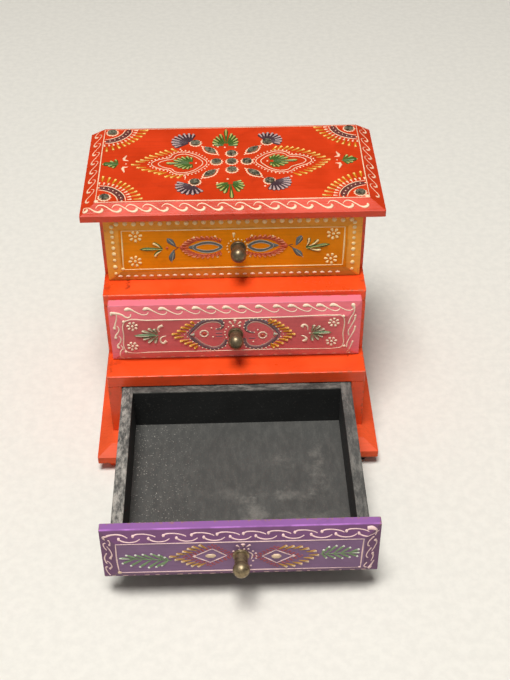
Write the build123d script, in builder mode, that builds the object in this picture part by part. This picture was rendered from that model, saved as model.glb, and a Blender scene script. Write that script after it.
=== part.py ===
"""A small stepped chest with three drawers, in painted wood. Millimetres, +Z up, the front faces -Y."""
import os

from build123d import *

os.makedirs("parts", exist_ok=True)

# Carcass boards
carcass_width = 178.0
tier_height = 51.5
tier_step = 25.0
top_tier_depth = 91.0
side_thickness = 9.2
shelf_thickness = 9.5
back_thickness = 8.0
board_edge_radius = 0.8

# Lid
lid_side_overhang = 11.0
lid_front_overhang = 13.0
lid_edge = 4.5
lid_bevel = 10.0
lid_bevel_drop = 4.5

# Base plate
plate_side_overhang = 10.0
plate_front_overhang = 22.5
plate_edge = 5.5
plate_bevel = 10.0
plate_bevel_drop = 4.5

# Feet
foot_size = 22.0
foot_height = 8.0
foot_taper_degrees = 15
foot_side_inset = 6.5
foot_end_inset = 3.0

# Drawer fronts
front_side_lap = 6.0
low_top_lap = 3.1
high_top_lap = 6.0
front_thickness = 9.5
front_end_bevel = 9.6
front_rail_bevel = 8.2
wide_head_bevel = 11.1
deep_bevel_drop = 4.3
middling_bevel_drop = 3.0
shallow_bevel_drop = 1.5
front_edge_radius = 0.9
front_gap_below = 0.6
front_gap_above = 0.6
front_gap_behind = 0.2

# Drawer boxes
wall_thickness = 7.5
bottom_thickness = 7.5
bottom_recess = 2.2
wall_edge_radius = 0.6
box_side_clearance = 0.5
box_bottom_clearance = 0.3
box_top_clearance = 0.6
box_back_clearance = 6.7
box_held_length = 2.5

# Knobs, washers and nuts
ball_diameter = 10.6
neck_diameter = 8.2
flange_diameter = 10.4
flange_thickness = 1.6
flange_edge_radius = 0.5
short_knob_reach = 8.8
long_knob_reach = 11.4
knob_rise = 1.2
top_knob_shift = 3.0
stud_diameter = 3.0
stud_spare = 1.0
stud_clearance = 0.15
thread_clearance = 0.05
washer_diameter = 7.0
washer_thickness = 0.6
nut_across_flats = 5.5
nut_thickness = 2.4

# Brads
brad_diameter = 1.2
brad_set = 1.5
carcass_brad_length = 18.0
drawer_brad_length = 15.0
foot_brad_length = 12.0
down_brad_shares = (0.1, 0.5, 0.85)
up_brad_shares = (0.25, 0.72)
back_brad_shares = (0.42, 0.6)
front_brad_shares = (0.35, 0.7)
floor_brad_shares = (0.25, 0.75)

# Mirrors on the lid
mirror_thickness = 1.0
round_mirror_diameter = 6.4
leaf_mirror_length = 11.0
leaf_mirror_width = 5.0
cross_radius = 10.5
leaf_radius = 21.0
outer_radius = 35.5
corner_mirror_inset = 5.6

# The three tiers, from the bottom up
tiers = ("bottom", "middle", "top")
hands = {"left": -1, "right": 1}
open_tier = "bottom"
top_laps = {"bottom": low_top_lap, "middle": high_top_lap}
head_bevels = {"bottom": front_rail_bevel, "middle": wide_head_bevel, "top": front_rail_bevel}
bevel_drops = {"bottom": deep_bevel_drop, "middle": middling_bevel_drop, "top": shallow_bevel_drop}
knob_reaches = {"bottom": long_knob_reach, "middle": short_knob_reach, "top": short_knob_reach}
knob_shifts = {"bottom": 0, "middle": 0, "top": top_knob_shift}
overrun = 1.0

# Heights
plate_bottom = foot_height
plate_top = plate_bottom + plate_edge + plate_bevel_drop
lid_bottom = plate_top + len(tiers) * tier_height
lid_top = lid_bottom + lid_edge + lid_bevel_drop

# Widths
opening_width = carcass_width - 2 * side_thickness
side_centre_x = (carcass_width - side_thickness) / 2
lid_width = carcass_width + 2 * lid_side_overhang
plate_width = carcass_width + 2 * plate_side_overhang
front_width = opening_width + 2 * front_side_lap
box_width = opening_width - 2 * box_side_clearance
box_inner_width = box_width - 2 * wall_thickness
wall_centre_x = (box_width - wall_thickness) / 2

# Depths: the open bottom drawer is the front of the whole, and the middle of the whole is at Y 0
bottom_tier_depth = top_tier_depth + (len(tiers) - 1) * tier_step
steps_forward = range(len(tiers) - 1, -1, -1)
inner_depths = [top_tier_depth + steps * tier_step - back_thickness for steps in steps_forward]
box_lengths = [depth + front_gap_behind - box_back_clearance for depth in inner_depths]
open_travel = box_lengths[tiers.index(open_tier)] - box_held_length
knob_length = knob_reaches[open_tier] + ball_diameter / 2
whole_depth = bottom_tier_depth + front_gap_behind + open_travel + front_thickness + knob_length
back_y = whole_depth / 2
back_inner_y = back_y - back_thickness
face_ys = [back_inner_y - depth for depth in inner_depths]
floor_zs = [plate_top + level * tier_height for level in range(len(tiers))]
shelved_height = tier_height - shelf_thickness
opening_heights = [shelved_height, shelved_height, tier_height]
lid_front_y = face_ys[-1] - lid_front_overhang
plate_front_y = face_ys[0] - plate_front_overhang

low_corner = (Align.CENTER, Align.MIN, Align.MIN)


def finish(piece, label):
    """Names a piece and writes it."""
    piece.part.label = label
    export_step(piece.part, f"parts/{label}.step")


def drive(places, length, mode):
    """Adds a brad at each place, or bores the hole that it fills."""
    if places:
        with Locations(*places):
            Cylinder(brad_diameter / 2, length, align=(Align.CENTER, Align.CENTER, Align.MIN), mode=mode)


def brad_group(label, places, length):
    """Makes a row of brads as one node."""
    with BuildPart() as group:
        drive(places, length, Mode.ADD)
    finish(group, label)


def upward(x, y, z):
    """A brad that points up."""
    return Location((x, y, z))


def downward(x, y, z):
    """A brad that points down."""
    return Location((x, y, z), (180, 0, 0))


def forward(x, y, z):
    """A brad that points to the front, along -Y."""
    return Location((x, y, z), (90, 0, 0))


def rearward(x, y, z):
    """A brad that points to the back, along +Y."""
    return Location((x, y, z), (-90, 0, 0))


def inward(x, y, z):
    """A brad that points to the middle, along X."""
    return Location((x, y, z), (0, -90 if x > 0 else 90, 0))


def bevelled_board(label, width, front_y, bottom_z, edge, bevel, drop, places):
    """A board whose upper side is bevelled at the front and both ends, and square at the back."""
    depth = back_y - front_y
    flat_depth = depth - bevel
    with BuildPart() as board:
        with BuildSketch(Plane.XY.offset(bottom_z)):
            with Locations((0, back_y - depth / 2)):
                Rectangle(width, depth)
        extrude(amount=edge)
        with BuildSketch(Plane.XY.offset(bottom_z + edge)):
            with Locations((0, back_y - depth / 2)):
                Rectangle(width, depth)
        with BuildSketch(Plane.XY.offset(bottom_z + edge + drop)):
            with Locations((0, back_y - flat_depth / 2)):
                Rectangle(width - 2 * bevel, flat_depth)
        loft(ruled=True)
        fillet(board.edges().filter_by(Axis.Z).group_by(Axis.Y)[0], board_edge_radius)
        for spots, length in places:
            drive(spots, length, Mode.SUBTRACT)
    finish(board, label)


# Brads of the carcass
lid_brads = []
base_brads = []
back_brads = []
shelf_brads = [[], []]
for hand in hands.values():
    x = hand * side_centre_x
    for share in down_brad_shares:
        lid_brads.append(downward(x, face_ys[2] + share * inner_depths[2], lid_top - brad_set))
        base_brads.append(upward(x, face_ys[0] + share * inner_depths[0], plate_bottom + brad_set))
    for level in range(len(shelf_brads)):
        shelf_top = floor_zs[level + 1]
        for share in down_brad_shares:
            y = face_ys[level] + share * inner_depths[level]
            shelf_brads[level].append(downward(x, y, shelf_top - brad_set))
        for share in up_brad_shares:
            y = face_ys[level + 1] + share * inner_depths[level + 1]
            shelf_brads[level].append(upward(x, y, shelf_top - shelf_thickness + brad_set))
    for level, floor_z in enumerate(floor_zs):
        for share in back_brad_shares:
            z = floor_z + share * opening_heights[level]
            back_brads.append(forward(x, back_y - brad_set, z))
lower_shelf_brads, upper_shelf_brads = shelf_brads

# Feet, each under a corner of the base plate
foot_brads = []
foot_centre_x = plate_width / 2 - foot_side_inset - foot_size / 2
foot_centre_ys = {
    "front": plate_front_y + foot_end_inset + foot_size / 2,
    "back": back_y - foot_end_inset - foot_size / 2,
}
for end, foot_y in foot_centre_ys.items():
    for hand_name, hand in hands.items():
        place = upward(hand * foot_centre_x, foot_y, brad_set)
        foot_brads.append(place)
        with BuildPart() as foot:
            with BuildSketch(Plane.XY.offset(plate_bottom)):
                with Locations((hand * foot_centre_x, foot_y)):
                    Rectangle(foot_size, foot_size)
            extrude(amount=-foot_height, taper=foot_taper_degrees)
            drive([place], foot_brad_length, Mode.SUBTRACT)
        finish(foot, f"{end}_{hand_name}_foot")

# Base plate and lid
base_places = [(base_brads, carcass_brad_length), (foot_brads, foot_brad_length)]
bevelled_board("base_plate", plate_width, plate_front_y, plate_bottom,
               plate_edge, plate_bevel, plate_bevel_drop, base_places)
bevelled_board("lid", lid_width, lid_front_y, lid_bottom,
               lid_edge, lid_bevel, lid_bevel_drop, [(lid_brads, carcass_brad_length)])

# Side boards, a left and a right one for each tier
carcass_brads = lid_brads + base_brads + back_brads + lower_shelf_brads + upper_shelf_brads
for level, tier in enumerate(tiers):
    for hand_name, hand in hands.items():
        with BuildPart() as side:
            with Locations((hand * side_centre_x, face_ys[level], floor_zs[level])):
                Box(side_thickness, inner_depths[level], opening_heights[level], align=low_corner)
            drive(carcass_brads, carcass_brad_length, Mode.SUBTRACT)
        finish(side, f"{tier}_{hand_name}_side")

# Shelves, whose front strips are the ledges
for level, (label, places) in enumerate((("lower_shelf", lower_shelf_brads), ("upper_shelf", upper_shelf_brads))):
    with BuildPart() as shelf:
        with Locations((0, face_ys[level], floor_zs[level + 1] - shelf_thickness)):
            Box(carcass_width, inner_depths[level], shelf_thickness, align=low_corner)
        fillet(shelf.edges().group_by(Axis.Y)[0], board_edge_radius)
        drive(places, carcass_brad_length, Mode.SUBTRACT)
    finish(shelf, label)

# Back panel
with BuildPart() as back_panel:
    with Locations((0, back_inner_y, plate_top)):
        Box(carcass_width, back_thickness, lid_bottom - plate_top, align=low_corner)
    drive(back_brads, carcass_brad_length, Mode.SUBTRACT)
finish(back_panel, "back_panel")

brad_group("lid_brads", lid_brads, carcass_brad_length)
brad_group("upper_shelf_brads", upper_shelf_brads, carcass_brad_length)
brad_group("lower_shelf_brads", lower_shelf_brads, carcass_brad_length)
brad_group("base_brads", base_brads, carcass_brad_length)
brad_group("back_brads", back_brads, carcass_brad_length)
brad_group("foot_brads", foot_brads, foot_brad_length)

# Mirrors on the lid: a cross of five, four more on the diagonals, and one in each corner
lid_flat_front_y = lid_front_y + lid_bevel
lid_centre_y = (lid_flat_front_y + back_y) / 2
corner_span_x = lid_width - 2 * lid_bevel - 2 * corner_mirror_inset
corner_span_y = back_y - lid_flat_front_y - 2 * corner_mirror_inset
with BuildPart() as round_mirrors:
    with BuildSketch(Plane.XY.offset(lid_top)):
        with Locations((0, lid_centre_y)):
            Circle(round_mirror_diameter / 2)
            with PolarLocations(cross_radius, 4):
                Circle(round_mirror_diameter / 2)
            with PolarLocations(outer_radius, 4, start_angle=45):
                Circle(round_mirror_diameter / 2)
            with GridLocations(corner_span_x, corner_span_y, 2, 2):
                Circle(round_mirror_diameter / 2)
    extrude(amount=mirror_thickness)
finish(round_mirrors, "round_mirrors")

with BuildSketch() as leaf:
    with BuildLine():
        SagittaArc((-leaf_mirror_length / 2, 0), (leaf_mirror_length / 2, 0), leaf_mirror_width / 2)
        SagittaArc((leaf_mirror_length / 2, 0), (-leaf_mirror_length / 2, 0), leaf_mirror_width / 2)
    make_face()
with BuildPart() as leaf_mirrors:
    with BuildSketch(Plane.XY.offset(lid_top)):
        with Locations((0, lid_centre_y)):
            with PolarLocations(leaf_radius, 4, start_angle=45):
                add(leaf.sketch)
    extrude(amount=mirror_thickness)
finish(leaf_mirrors, "leaf_mirrors")


def drawer(level, tier):
    """Makes one drawer: front, box, knob, washer, nut and brads."""
    travel = open_travel if tier == open_tier else 0
    box_front_y = face_ys[level] - front_gap_behind - travel
    box_back_y = box_front_y + box_lengths[level]
    box_bottom = floor_zs[level] + box_bottom_clearance
    box_height = opening_heights[level] - box_bottom_clearance - box_top_clearance
    front_bottom = floor_zs[level] + front_gap_below
    if tier == tiers[-1]:
        front_top = floor_zs[level] + tier_height - front_gap_above
    else:
        front_top = floor_zs[level] + opening_heights[level] + top_laps[tier]
    front_height = front_top - front_bottom
    front_middle = (front_bottom + front_top) / 2
    front_edge = front_thickness - bevel_drops[tier]
    panel_y = box_front_y - front_thickness
    panel_bottom = front_bottom + front_rail_bevel
    panel_top = front_top - head_bevels[tier]
    panel_middle = (panel_bottom + panel_top) / 2
    knob_x = knob_shifts[tier]
    knob_z = panel_middle + knob_rise
    bottom_z = box_bottom + bottom_recess

    brads = []
    for hand in hands.values():
        outer_x = hand * (box_width / 2 - brad_set)
        for share in front_brad_shares:
            z = box_bottom + share * box_height
            brads.append(rearward(hand * wall_centre_x, panel_y + brad_set, z))
            brads.append(inward(outer_x, box_back_y - wall_thickness / 2, z))
        for share in floor_brad_shares:
            y = box_front_y + share * (box_lengths[level] - wall_thickness)
            brads.append(inward(outer_x, y, bottom_z + bottom_thickness / 2))
    brad_group(f"{tier}_drawer_brads", brads, drawer_brad_length)

    with BuildPart() as front:
        with BuildSketch(Plane((0, box_front_y, front_middle), x_dir=(1, 0, 0), z_dir=(0, -1, 0))):
            Rectangle(front_width, front_height)
        extrude(amount=front_edge)
        with BuildSketch(Plane((0, box_front_y - front_edge, front_middle), x_dir=(1, 0, 0), z_dir=(0, -1, 0))):
            Rectangle(front_width, front_height)
        with BuildSketch(Plane((0, panel_y, panel_middle), x_dir=(1, 0, 0), z_dir=(0, -1, 0))):
            Rectangle(front_width - 2 * front_end_bevel, panel_top - panel_bottom)
        loft(ruled=True)
        fillet(front.edges().filter_by(Axis.Y), front_edge_radius)
        drive(brads, drawer_brad_length, Mode.SUBTRACT)
        with Locations(Location((knob_x, panel_y - overrun, knob_z), (-90, 0, 0))):
            Cylinder(stud_diameter / 2 + stud_clearance, front_thickness + 2 * overrun,
                     align=(Align.CENTER, Align.CENTER, Align.MIN), mode=Mode.SUBTRACT)
    finish(front, f"{tier}_drawer_front")

    for hand_name, hand in hands.items():
        with BuildPart() as wall:
            with Locations((hand * wall_centre_x, box_front_y, box_bottom)):
                Box(wall_thickness, box_lengths[level], box_height, align=low_corner)
            fillet(wall.edges().group_by(Axis.Z)[-1].filter_by(Axis.Y), wall_edge_radius)
            drive(brads, drawer_brad_length, Mode.SUBTRACT)
        finish(wall, f"{tier}_drawer_{hand_name}_wall")

    with BuildPart() as back_wall:
        with Locations((0, box_back_y - wall_thickness, box_bottom)):
            Box(box_inner_width, wall_thickness, box_height, align=low_corner)
        fillet(back_wall.edges().group_by(Axis.Z)[-1].filter_by(Axis.X), wall_edge_radius)
        drive(brads, drawer_brad_length, Mode.SUBTRACT)
    finish(back_wall, f"{tier}_drawer_back_wall")

    with BuildPart() as bottom_board:
        with Locations((0, box_front_y, bottom_z)):
            Box(box_inner_width, box_lengths[level] - wall_thickness, bottom_thickness, align=low_corner)
        drive(brads, drawer_brad_length, Mode.SUBTRACT)
    finish(bottom_board, f"{tier}_drawer_bottom_board")

    reach = knob_reaches[tier]
    ball_radius = ball_diameter / 2
    neck_radius = neck_diameter / 2
    neck_end = reach - (ball_radius**2 - neck_radius**2) ** 0.5
    stud_end = front_thickness + washer_thickness + nut_thickness + stud_spare
    flange_radius = flange_diameter / 2
    flange_flat_radius = flange_radius - flange_edge_radius
    flange_rim_end = flange_thickness - flange_edge_radius
    with BuildPart() as knob:
        with BuildSketch(Plane((knob_x, panel_y, knob_z), x_dir=(1, 0, 0), z_dir=(0, 0, 1))):
            with BuildLine():
                Polyline(
                    (0, -reach - ball_radius),
                    (0, stud_end),
                    (stud_diameter / 2, stud_end),
                    (stud_diameter / 2, 0),
                    (flange_radius, 0),
                    (flange_radius, -flange_rim_end),
                )
                RadiusArc((flange_radius, -flange_rim_end), (flange_flat_radius, -flange_thickness),
                          flange_edge_radius)
                Polyline(
                    (flange_flat_radius, -flange_thickness),
                    (neck_radius, -flange_thickness),
                    (neck_radius, -neck_end),
                )
                ThreePointArc((neck_radius, -neck_end), (ball_radius, -reach), (0, -reach - ball_radius))
            make_face()
        revolve(axis=Axis((knob_x, panel_y, knob_z), (0, 1, 0)))
    finish(knob, f"{tier}_knob")

    with BuildPart() as washer:
        with BuildSketch(Plane((knob_x, box_front_y, knob_z), x_dir=(1, 0, 0), z_dir=(0, 1, 0))):
            Circle(washer_diameter / 2)
            Circle(stud_diameter / 2 + stud_clearance, mode=Mode.SUBTRACT)
        extrude(amount=washer_thickness)
    finish(washer, f"{tier}_knob_washer")

    with BuildPart() as nut:
        nut_y = box_front_y + washer_thickness
        with BuildSketch(Plane((knob_x, nut_y, knob_z), x_dir=(1, 0, 0), z_dir=(0, 1, 0))):
            RegularPolygon(nut_across_flats / 2, 6, major_radius=False)
            Circle(stud_diameter / 2 + thread_clearance, mode=Mode.SUBTRACT)
        extrude(amount=nut_thickness)
    finish(nut, f"{tier}_knob_nut")


for tier_level, tier_name in enumerate(tiers):
    drawer(tier_level, tier_name)
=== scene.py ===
"""Dresses a stepped box of three drawers: paints, raised cone-painted ornament, brass and a plain studio."""

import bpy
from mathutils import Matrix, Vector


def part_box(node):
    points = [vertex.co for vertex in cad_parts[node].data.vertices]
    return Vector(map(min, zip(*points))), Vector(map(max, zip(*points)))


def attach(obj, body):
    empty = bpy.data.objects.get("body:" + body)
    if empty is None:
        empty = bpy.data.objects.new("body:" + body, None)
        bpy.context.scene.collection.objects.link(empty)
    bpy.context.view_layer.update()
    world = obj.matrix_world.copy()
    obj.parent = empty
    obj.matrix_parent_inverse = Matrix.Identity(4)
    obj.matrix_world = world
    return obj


bl_info = {
    "name": "Painted Drawer Box",
    "version": (1, 0, 0),
    "blender": (4, 5, 0),
    "location": "View3D > Sidebar > Drawer Box",
    "description": "Paints a stepped box of three drawers and lays its raised ornament",
    "category": "Object",
}

import math
import bpy
import bmesh
from mathutils import Matrix, Vector

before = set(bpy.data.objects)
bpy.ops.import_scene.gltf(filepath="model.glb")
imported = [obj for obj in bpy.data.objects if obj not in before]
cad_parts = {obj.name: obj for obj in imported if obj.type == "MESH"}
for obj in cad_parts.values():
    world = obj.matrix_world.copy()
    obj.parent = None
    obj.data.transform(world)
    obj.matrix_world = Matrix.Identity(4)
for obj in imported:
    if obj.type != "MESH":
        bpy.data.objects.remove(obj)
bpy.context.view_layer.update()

MM = 0.001
TIERS = ("bottom", "middle", "top")
SIDES = (-1, 1)

# Axes that the brush strokes run along
ALONG_X = 0
ALONG_Y = 1

# Board shapes repeated from the part's source, in millimetres
LID_BEVEL = 10.0
LID_DROP = 4.5
LID_DEPTH = 94.0
LID_HALF = 90.0
LEDGE_DEPTH = 25.0
FRONT_FOOT_BEVEL = 8.2
FRONT_HEAD_BEVELS = {"bottom": 8.2, "middle": 11.1, "top": 8.2}
FRONT_END_BEVEL = 9.6
FRONT_DROPS = {"bottom": 4.3, "middle": 3.0, "top": 1.5}
FRONT_LIFT = 0.6

# Mirror places on the lid, in millimetres
MIRROR_MIDDLE = (0.0, -47.0)
MIRROR_NEAR = 10.5
MIRROR_FAR = 35.5
MIRROR_LEAF = 21.0
MIRROR_CORNER = 5.6

# Patterns in the paint, in repeats per metre
BRUSH_ACROSS = 620.0
BRUSH_ALONG = 22.0
BROAD_MOTTLE = 34.0
FINE_FLECKS = 900.0

# Height of the brush marks in metres, and how strongly they show
BRUSH_DEPTH = 0.00012
BRUSH_STRENGTH = 0.6

# Dark knocks on the ledges: x, share of the depth, half sizes in millimetres and strength
KNOCK_HEIGHT = 0.004
LEDGE_KNOCKS = {
    "upper_shelf": (
        (-72.5, 0.55, 2.2, 12.0, 0.8), (-86.5, 0.3, 2.6, 8.0, 0.5),
        (87.0, 0.5, 2.0, 9.0, 0.5), (-69.0, 0.9, 4.0, 3.0, 0.45)),
    "lower_shelf": (
        (-82.0, 0.6, 6.0, 2.4, 0.4), (77.5, 0.6, 1.5, 5.0, 0.9),
        (62.0, 0.85, 7.0, 1.6, 0.4), (-87.0, 0.4, 1.8, 9.0, 0.45)),
}

# Chalky wipes on the drawer floors: place and half size as shares of the floor, and strength
WIPE_HEIGHT = 0.02
FLOOR_WIPES = (
    (0.56, 0.3, 0.08, 0.16, 0.34), (0.72, 0.42, 0.17, 0.06, 0.26), (0.87, 0.6, 0.06, 0.24, 0.3),
    (0.8, 0.2, 0.16, 0.14, 0.22), (0.71, 0.68, 0.06, 0.08, 0.2), (0.3, 0.22, 0.2, 0.05, 0.2),
    (0.45, 0.45, 0.22, 0.05, 0.14),
)

# How finely the raised paint is made
STROKE_ROUNDING = 1
STROKE_STEPS = 4
DOT_SEGMENTS = 8
DOT_RINGS = 5
DOT_BATCH = 24

# Lamps and camera: places in metres, turns in degrees
KEY_PLACE = (-0.30, -0.72, 3.30)
KEY_TARGET = (0.0, -0.06, 0.03)
KEY_WIDTH = 1.35
FILL_PLACE = (-0.5, -0.9, 0.5)
FILL_TARGET = (0.0, 0.0, 0.08)
FILL_WIDTH = 0.6
CAMERA_PLACE = (-0.002, -0.5652, 0.5897)
CAMERA_PITCH = 40.64
CAMERA_YAW = 1.49
CAMERA_ROLL = -0.33
SENSOR_SIDE = 36.0
NEAREST_SEEN = 0.01

# Sky: its tint, and how it darkens towards the rear
SKY_TINT = (1.0, 0.985, 0.96, 1.0)
SKY_FADE = (0.1, 0.75)
SKY_REAR_SHARE = 0.35


def linear(value):
    """Linear share of an eight-bit screen value."""
    part = value / 255
    return part / 12.92 if part <= 0.04045 else ((part + 0.055) / 1.055) ** 2.4


def srgb(red, green, blue):
    """Linear colour of an eight-bit screen colour."""
    return (linear(red), linear(green), linear(blue))


def colour(label, words, red, green, blue):
    """A colour setting."""
    return bpy.props.FloatVectorProperty(
        name=label, description=words, default=srgb(red, green, blue),
        size=3, min=0.0, max=1.0, subtype="COLOR")


def length(label, words, millimetres):
    """A length setting, kept in metres."""
    return bpy.props.FloatProperty(
        name=label, description=words, default=millimetres * MM,
        min=0.0, unit="LENGTH", subtype="DISTANCE")


def share(label, words, value):
    """A share from nothing to all."""
    return bpy.props.FloatProperty(
        name=label, description=words, default=value, min=0.0, max=1.0, subtype="FACTOR")


class BoxPaints(bpy.types.PropertyGroup):
    """Colours of the boards and of the ornament."""
    red: colour("Red", "Shelves, sides and two feet", 238, 77, 27)
    lid_red: colour("Lid red", "Lid", 208, 56, 10)
    plate_red: colour("Plate red", "Base plate", 222, 83, 42)
    black: colour("Black", "Two of the feet", 26, 24, 23)
    ochre: colour("Ochre", "Panel of the top drawer front", 232, 135, 2)
    ochre_border: colour("Ochre border", "Bevels of the top drawer front", 250, 166, 62)
    ochre_foot: colour("Ochre foot", "Lower bevel of the top drawer front", 216, 157, 65)
    pink: colour("Pink", "Panel of the middle drawer front", 228, 112, 112)
    pink_border: colour("Pink border", "Bevels of the middle drawer front", 243, 123, 131)
    pink_edge: colour("Pink edge", "Top edge of the middle drawer front", 226, 118, 132)
    pink_foot: colour("Pink foot", "Lower bevel of the middle drawer front", 228, 158, 156)
    purple: colour("Purple", "Panel of the bottom drawer front", 136, 104, 138)
    purple_border: colour("Purple border", "Bevels of the bottom drawer front", 118, 80, 114)
    purple_edge: colour("Purple edge", "Top edge of the bottom drawer front", 142, 94, 154)
    charcoal: colour("Charcoal", "Insides of the drawers", 72, 73, 71)
    chalk: colour("Chalk", "Dust and rubbed rims of the drawers", 176, 170, 160)
    wood: colour("Bare wood", "Back panel and rubbed edges", 178, 136, 88)
    cream: colour("Cream", "Lines and dots of the pink front", 252, 224, 194)
    ivory: colour("Ivory", "Lines and dots of the lid", 250, 208, 172)
    blush: colour("Blush", "Lines and dots of the purple front", 238, 202, 196)
    butter: colour("Butter", "Lines and dots of the ochre front", 255, 220, 156)
    flame: colour("Flame", "Orange tails of the painted drops", 206, 132, 20)
    flame_tip: colour("Flame tip", "Pale heads of the painted drops", 250, 202, 108)
    gilt: colour("Gilt", "Dull tails of the purple front's drops", 172, 124, 48)
    gilt_tip: colour("Gilt tip", "Pale heads of the purple front's drops", 216, 186, 154)
    leaf: colour("Leaf", "Green painted leaves", 70, 100, 36)
    leaf_tip: colour("Leaf tip", "Pale ends of the green leaves", 178, 178, 98)
    sage: colour("Sage", "Grey-green leaves of the pink front", 140, 130, 100)
    sage_tip: colour("Sage tip", "Pale ends of the grey-green leaves", 224, 206, 178)
    fern: colour("Fern", "Green sprays of the purple front", 114, 138, 96)
    fern_tip: colour("Fern tip", "Pale ends of the green sprays", 214, 212, 198)
    indigo: colour("Indigo", "Dark fans beside the outer mirrors", 72, 50, 56)
    indigo_tip: colour("Indigo tip", "Pale ends of the dark fans", 186, 158, 152)
    coral: colour("Coral", "Red painted petals", 198, 84, 46)
    # Painted highlight: pale drops on the red petals in place of their gloss
    coral_tip: colour("Coral tip", "Pale lights on the red petals", 230, 144, 100)
    rose: colour("Rose", "Dull red dashes of the purple front", 160, 66, 72)
    slate: colour("Slate", "Blue-grey painted rings and leaves", 94, 106, 106)
    plum: colour("Plum", "Grey-violet hearts of the pink front", 124, 100, 104)
    slate_tip: colour("Slate tip", "Pale lines along the blue-grey paint", 184, 178, 156)
    band: colour("Band", "Brown bands in the corner fans", 106, 52, 48)
    brass: colour("Brass", "Knobs", 160, 142, 110)
    patina: colour("Patina", "Dark tarnish on the knobs", 74, 62, 48)
    steel: colour("Steel", "Brads, washers and nuts", 128, 126, 122)
    mirror: colour("Mirror", "Small silvered glasses", 168, 164, 136)


class ReliefSizes(bpy.types.PropertyGroup):
    """Sizes of the raised paint."""
    line: length("Line", "Width of a cream line", 0.95)
    dot: length("Dot", "Width of a cream dot", 1.7)
    rim: length("Mirror rim", "Width of the raised rim round a mirror", 1.1)
    flame: length("Drop", "Width of a painted drop at its head", 2.5)
    rise: share("Rise", "Height of the raised paint against its half width", 0.46)
    wash: share("Wash", "Height of flat brushed paint against its half width", 0.1)


class StudioSettings(bpy.types.PropertyGroup):
    """Floor, lamps and camera."""
    floor: colour("Floor", "Pale floor under the box", 222, 218, 208)
    floor_size: length("Floor size", "Half the width of the floor", 9000.0)
    lens: bpy.props.FloatProperty(
        name="Lens", description="Focal length in millimetres on a 36 mm long side", default=59.35, min=1.0)
    key_power: bpy.props.FloatProperty(
        name="Key lamp", description="Power of the soft lamp above the front, in watts", default=56.0,
        min=0.0, unit="POWER")
    key_spread: bpy.props.FloatProperty(
        name="Key spread", description="Opening angle of the soft lamp above the front",
        default=math.radians(120), min=0.0, max=math.pi, unit="ROTATION", subtype="ANGLE")
    fill_power: bpy.props.FloatProperty(
        name="Fill lamp", description="Power of the soft lamp at the left, in watts", default=0.25,
        min=0.0, unit="POWER")
    sky: share("Sky", "Light from all round", 0.19)


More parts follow.
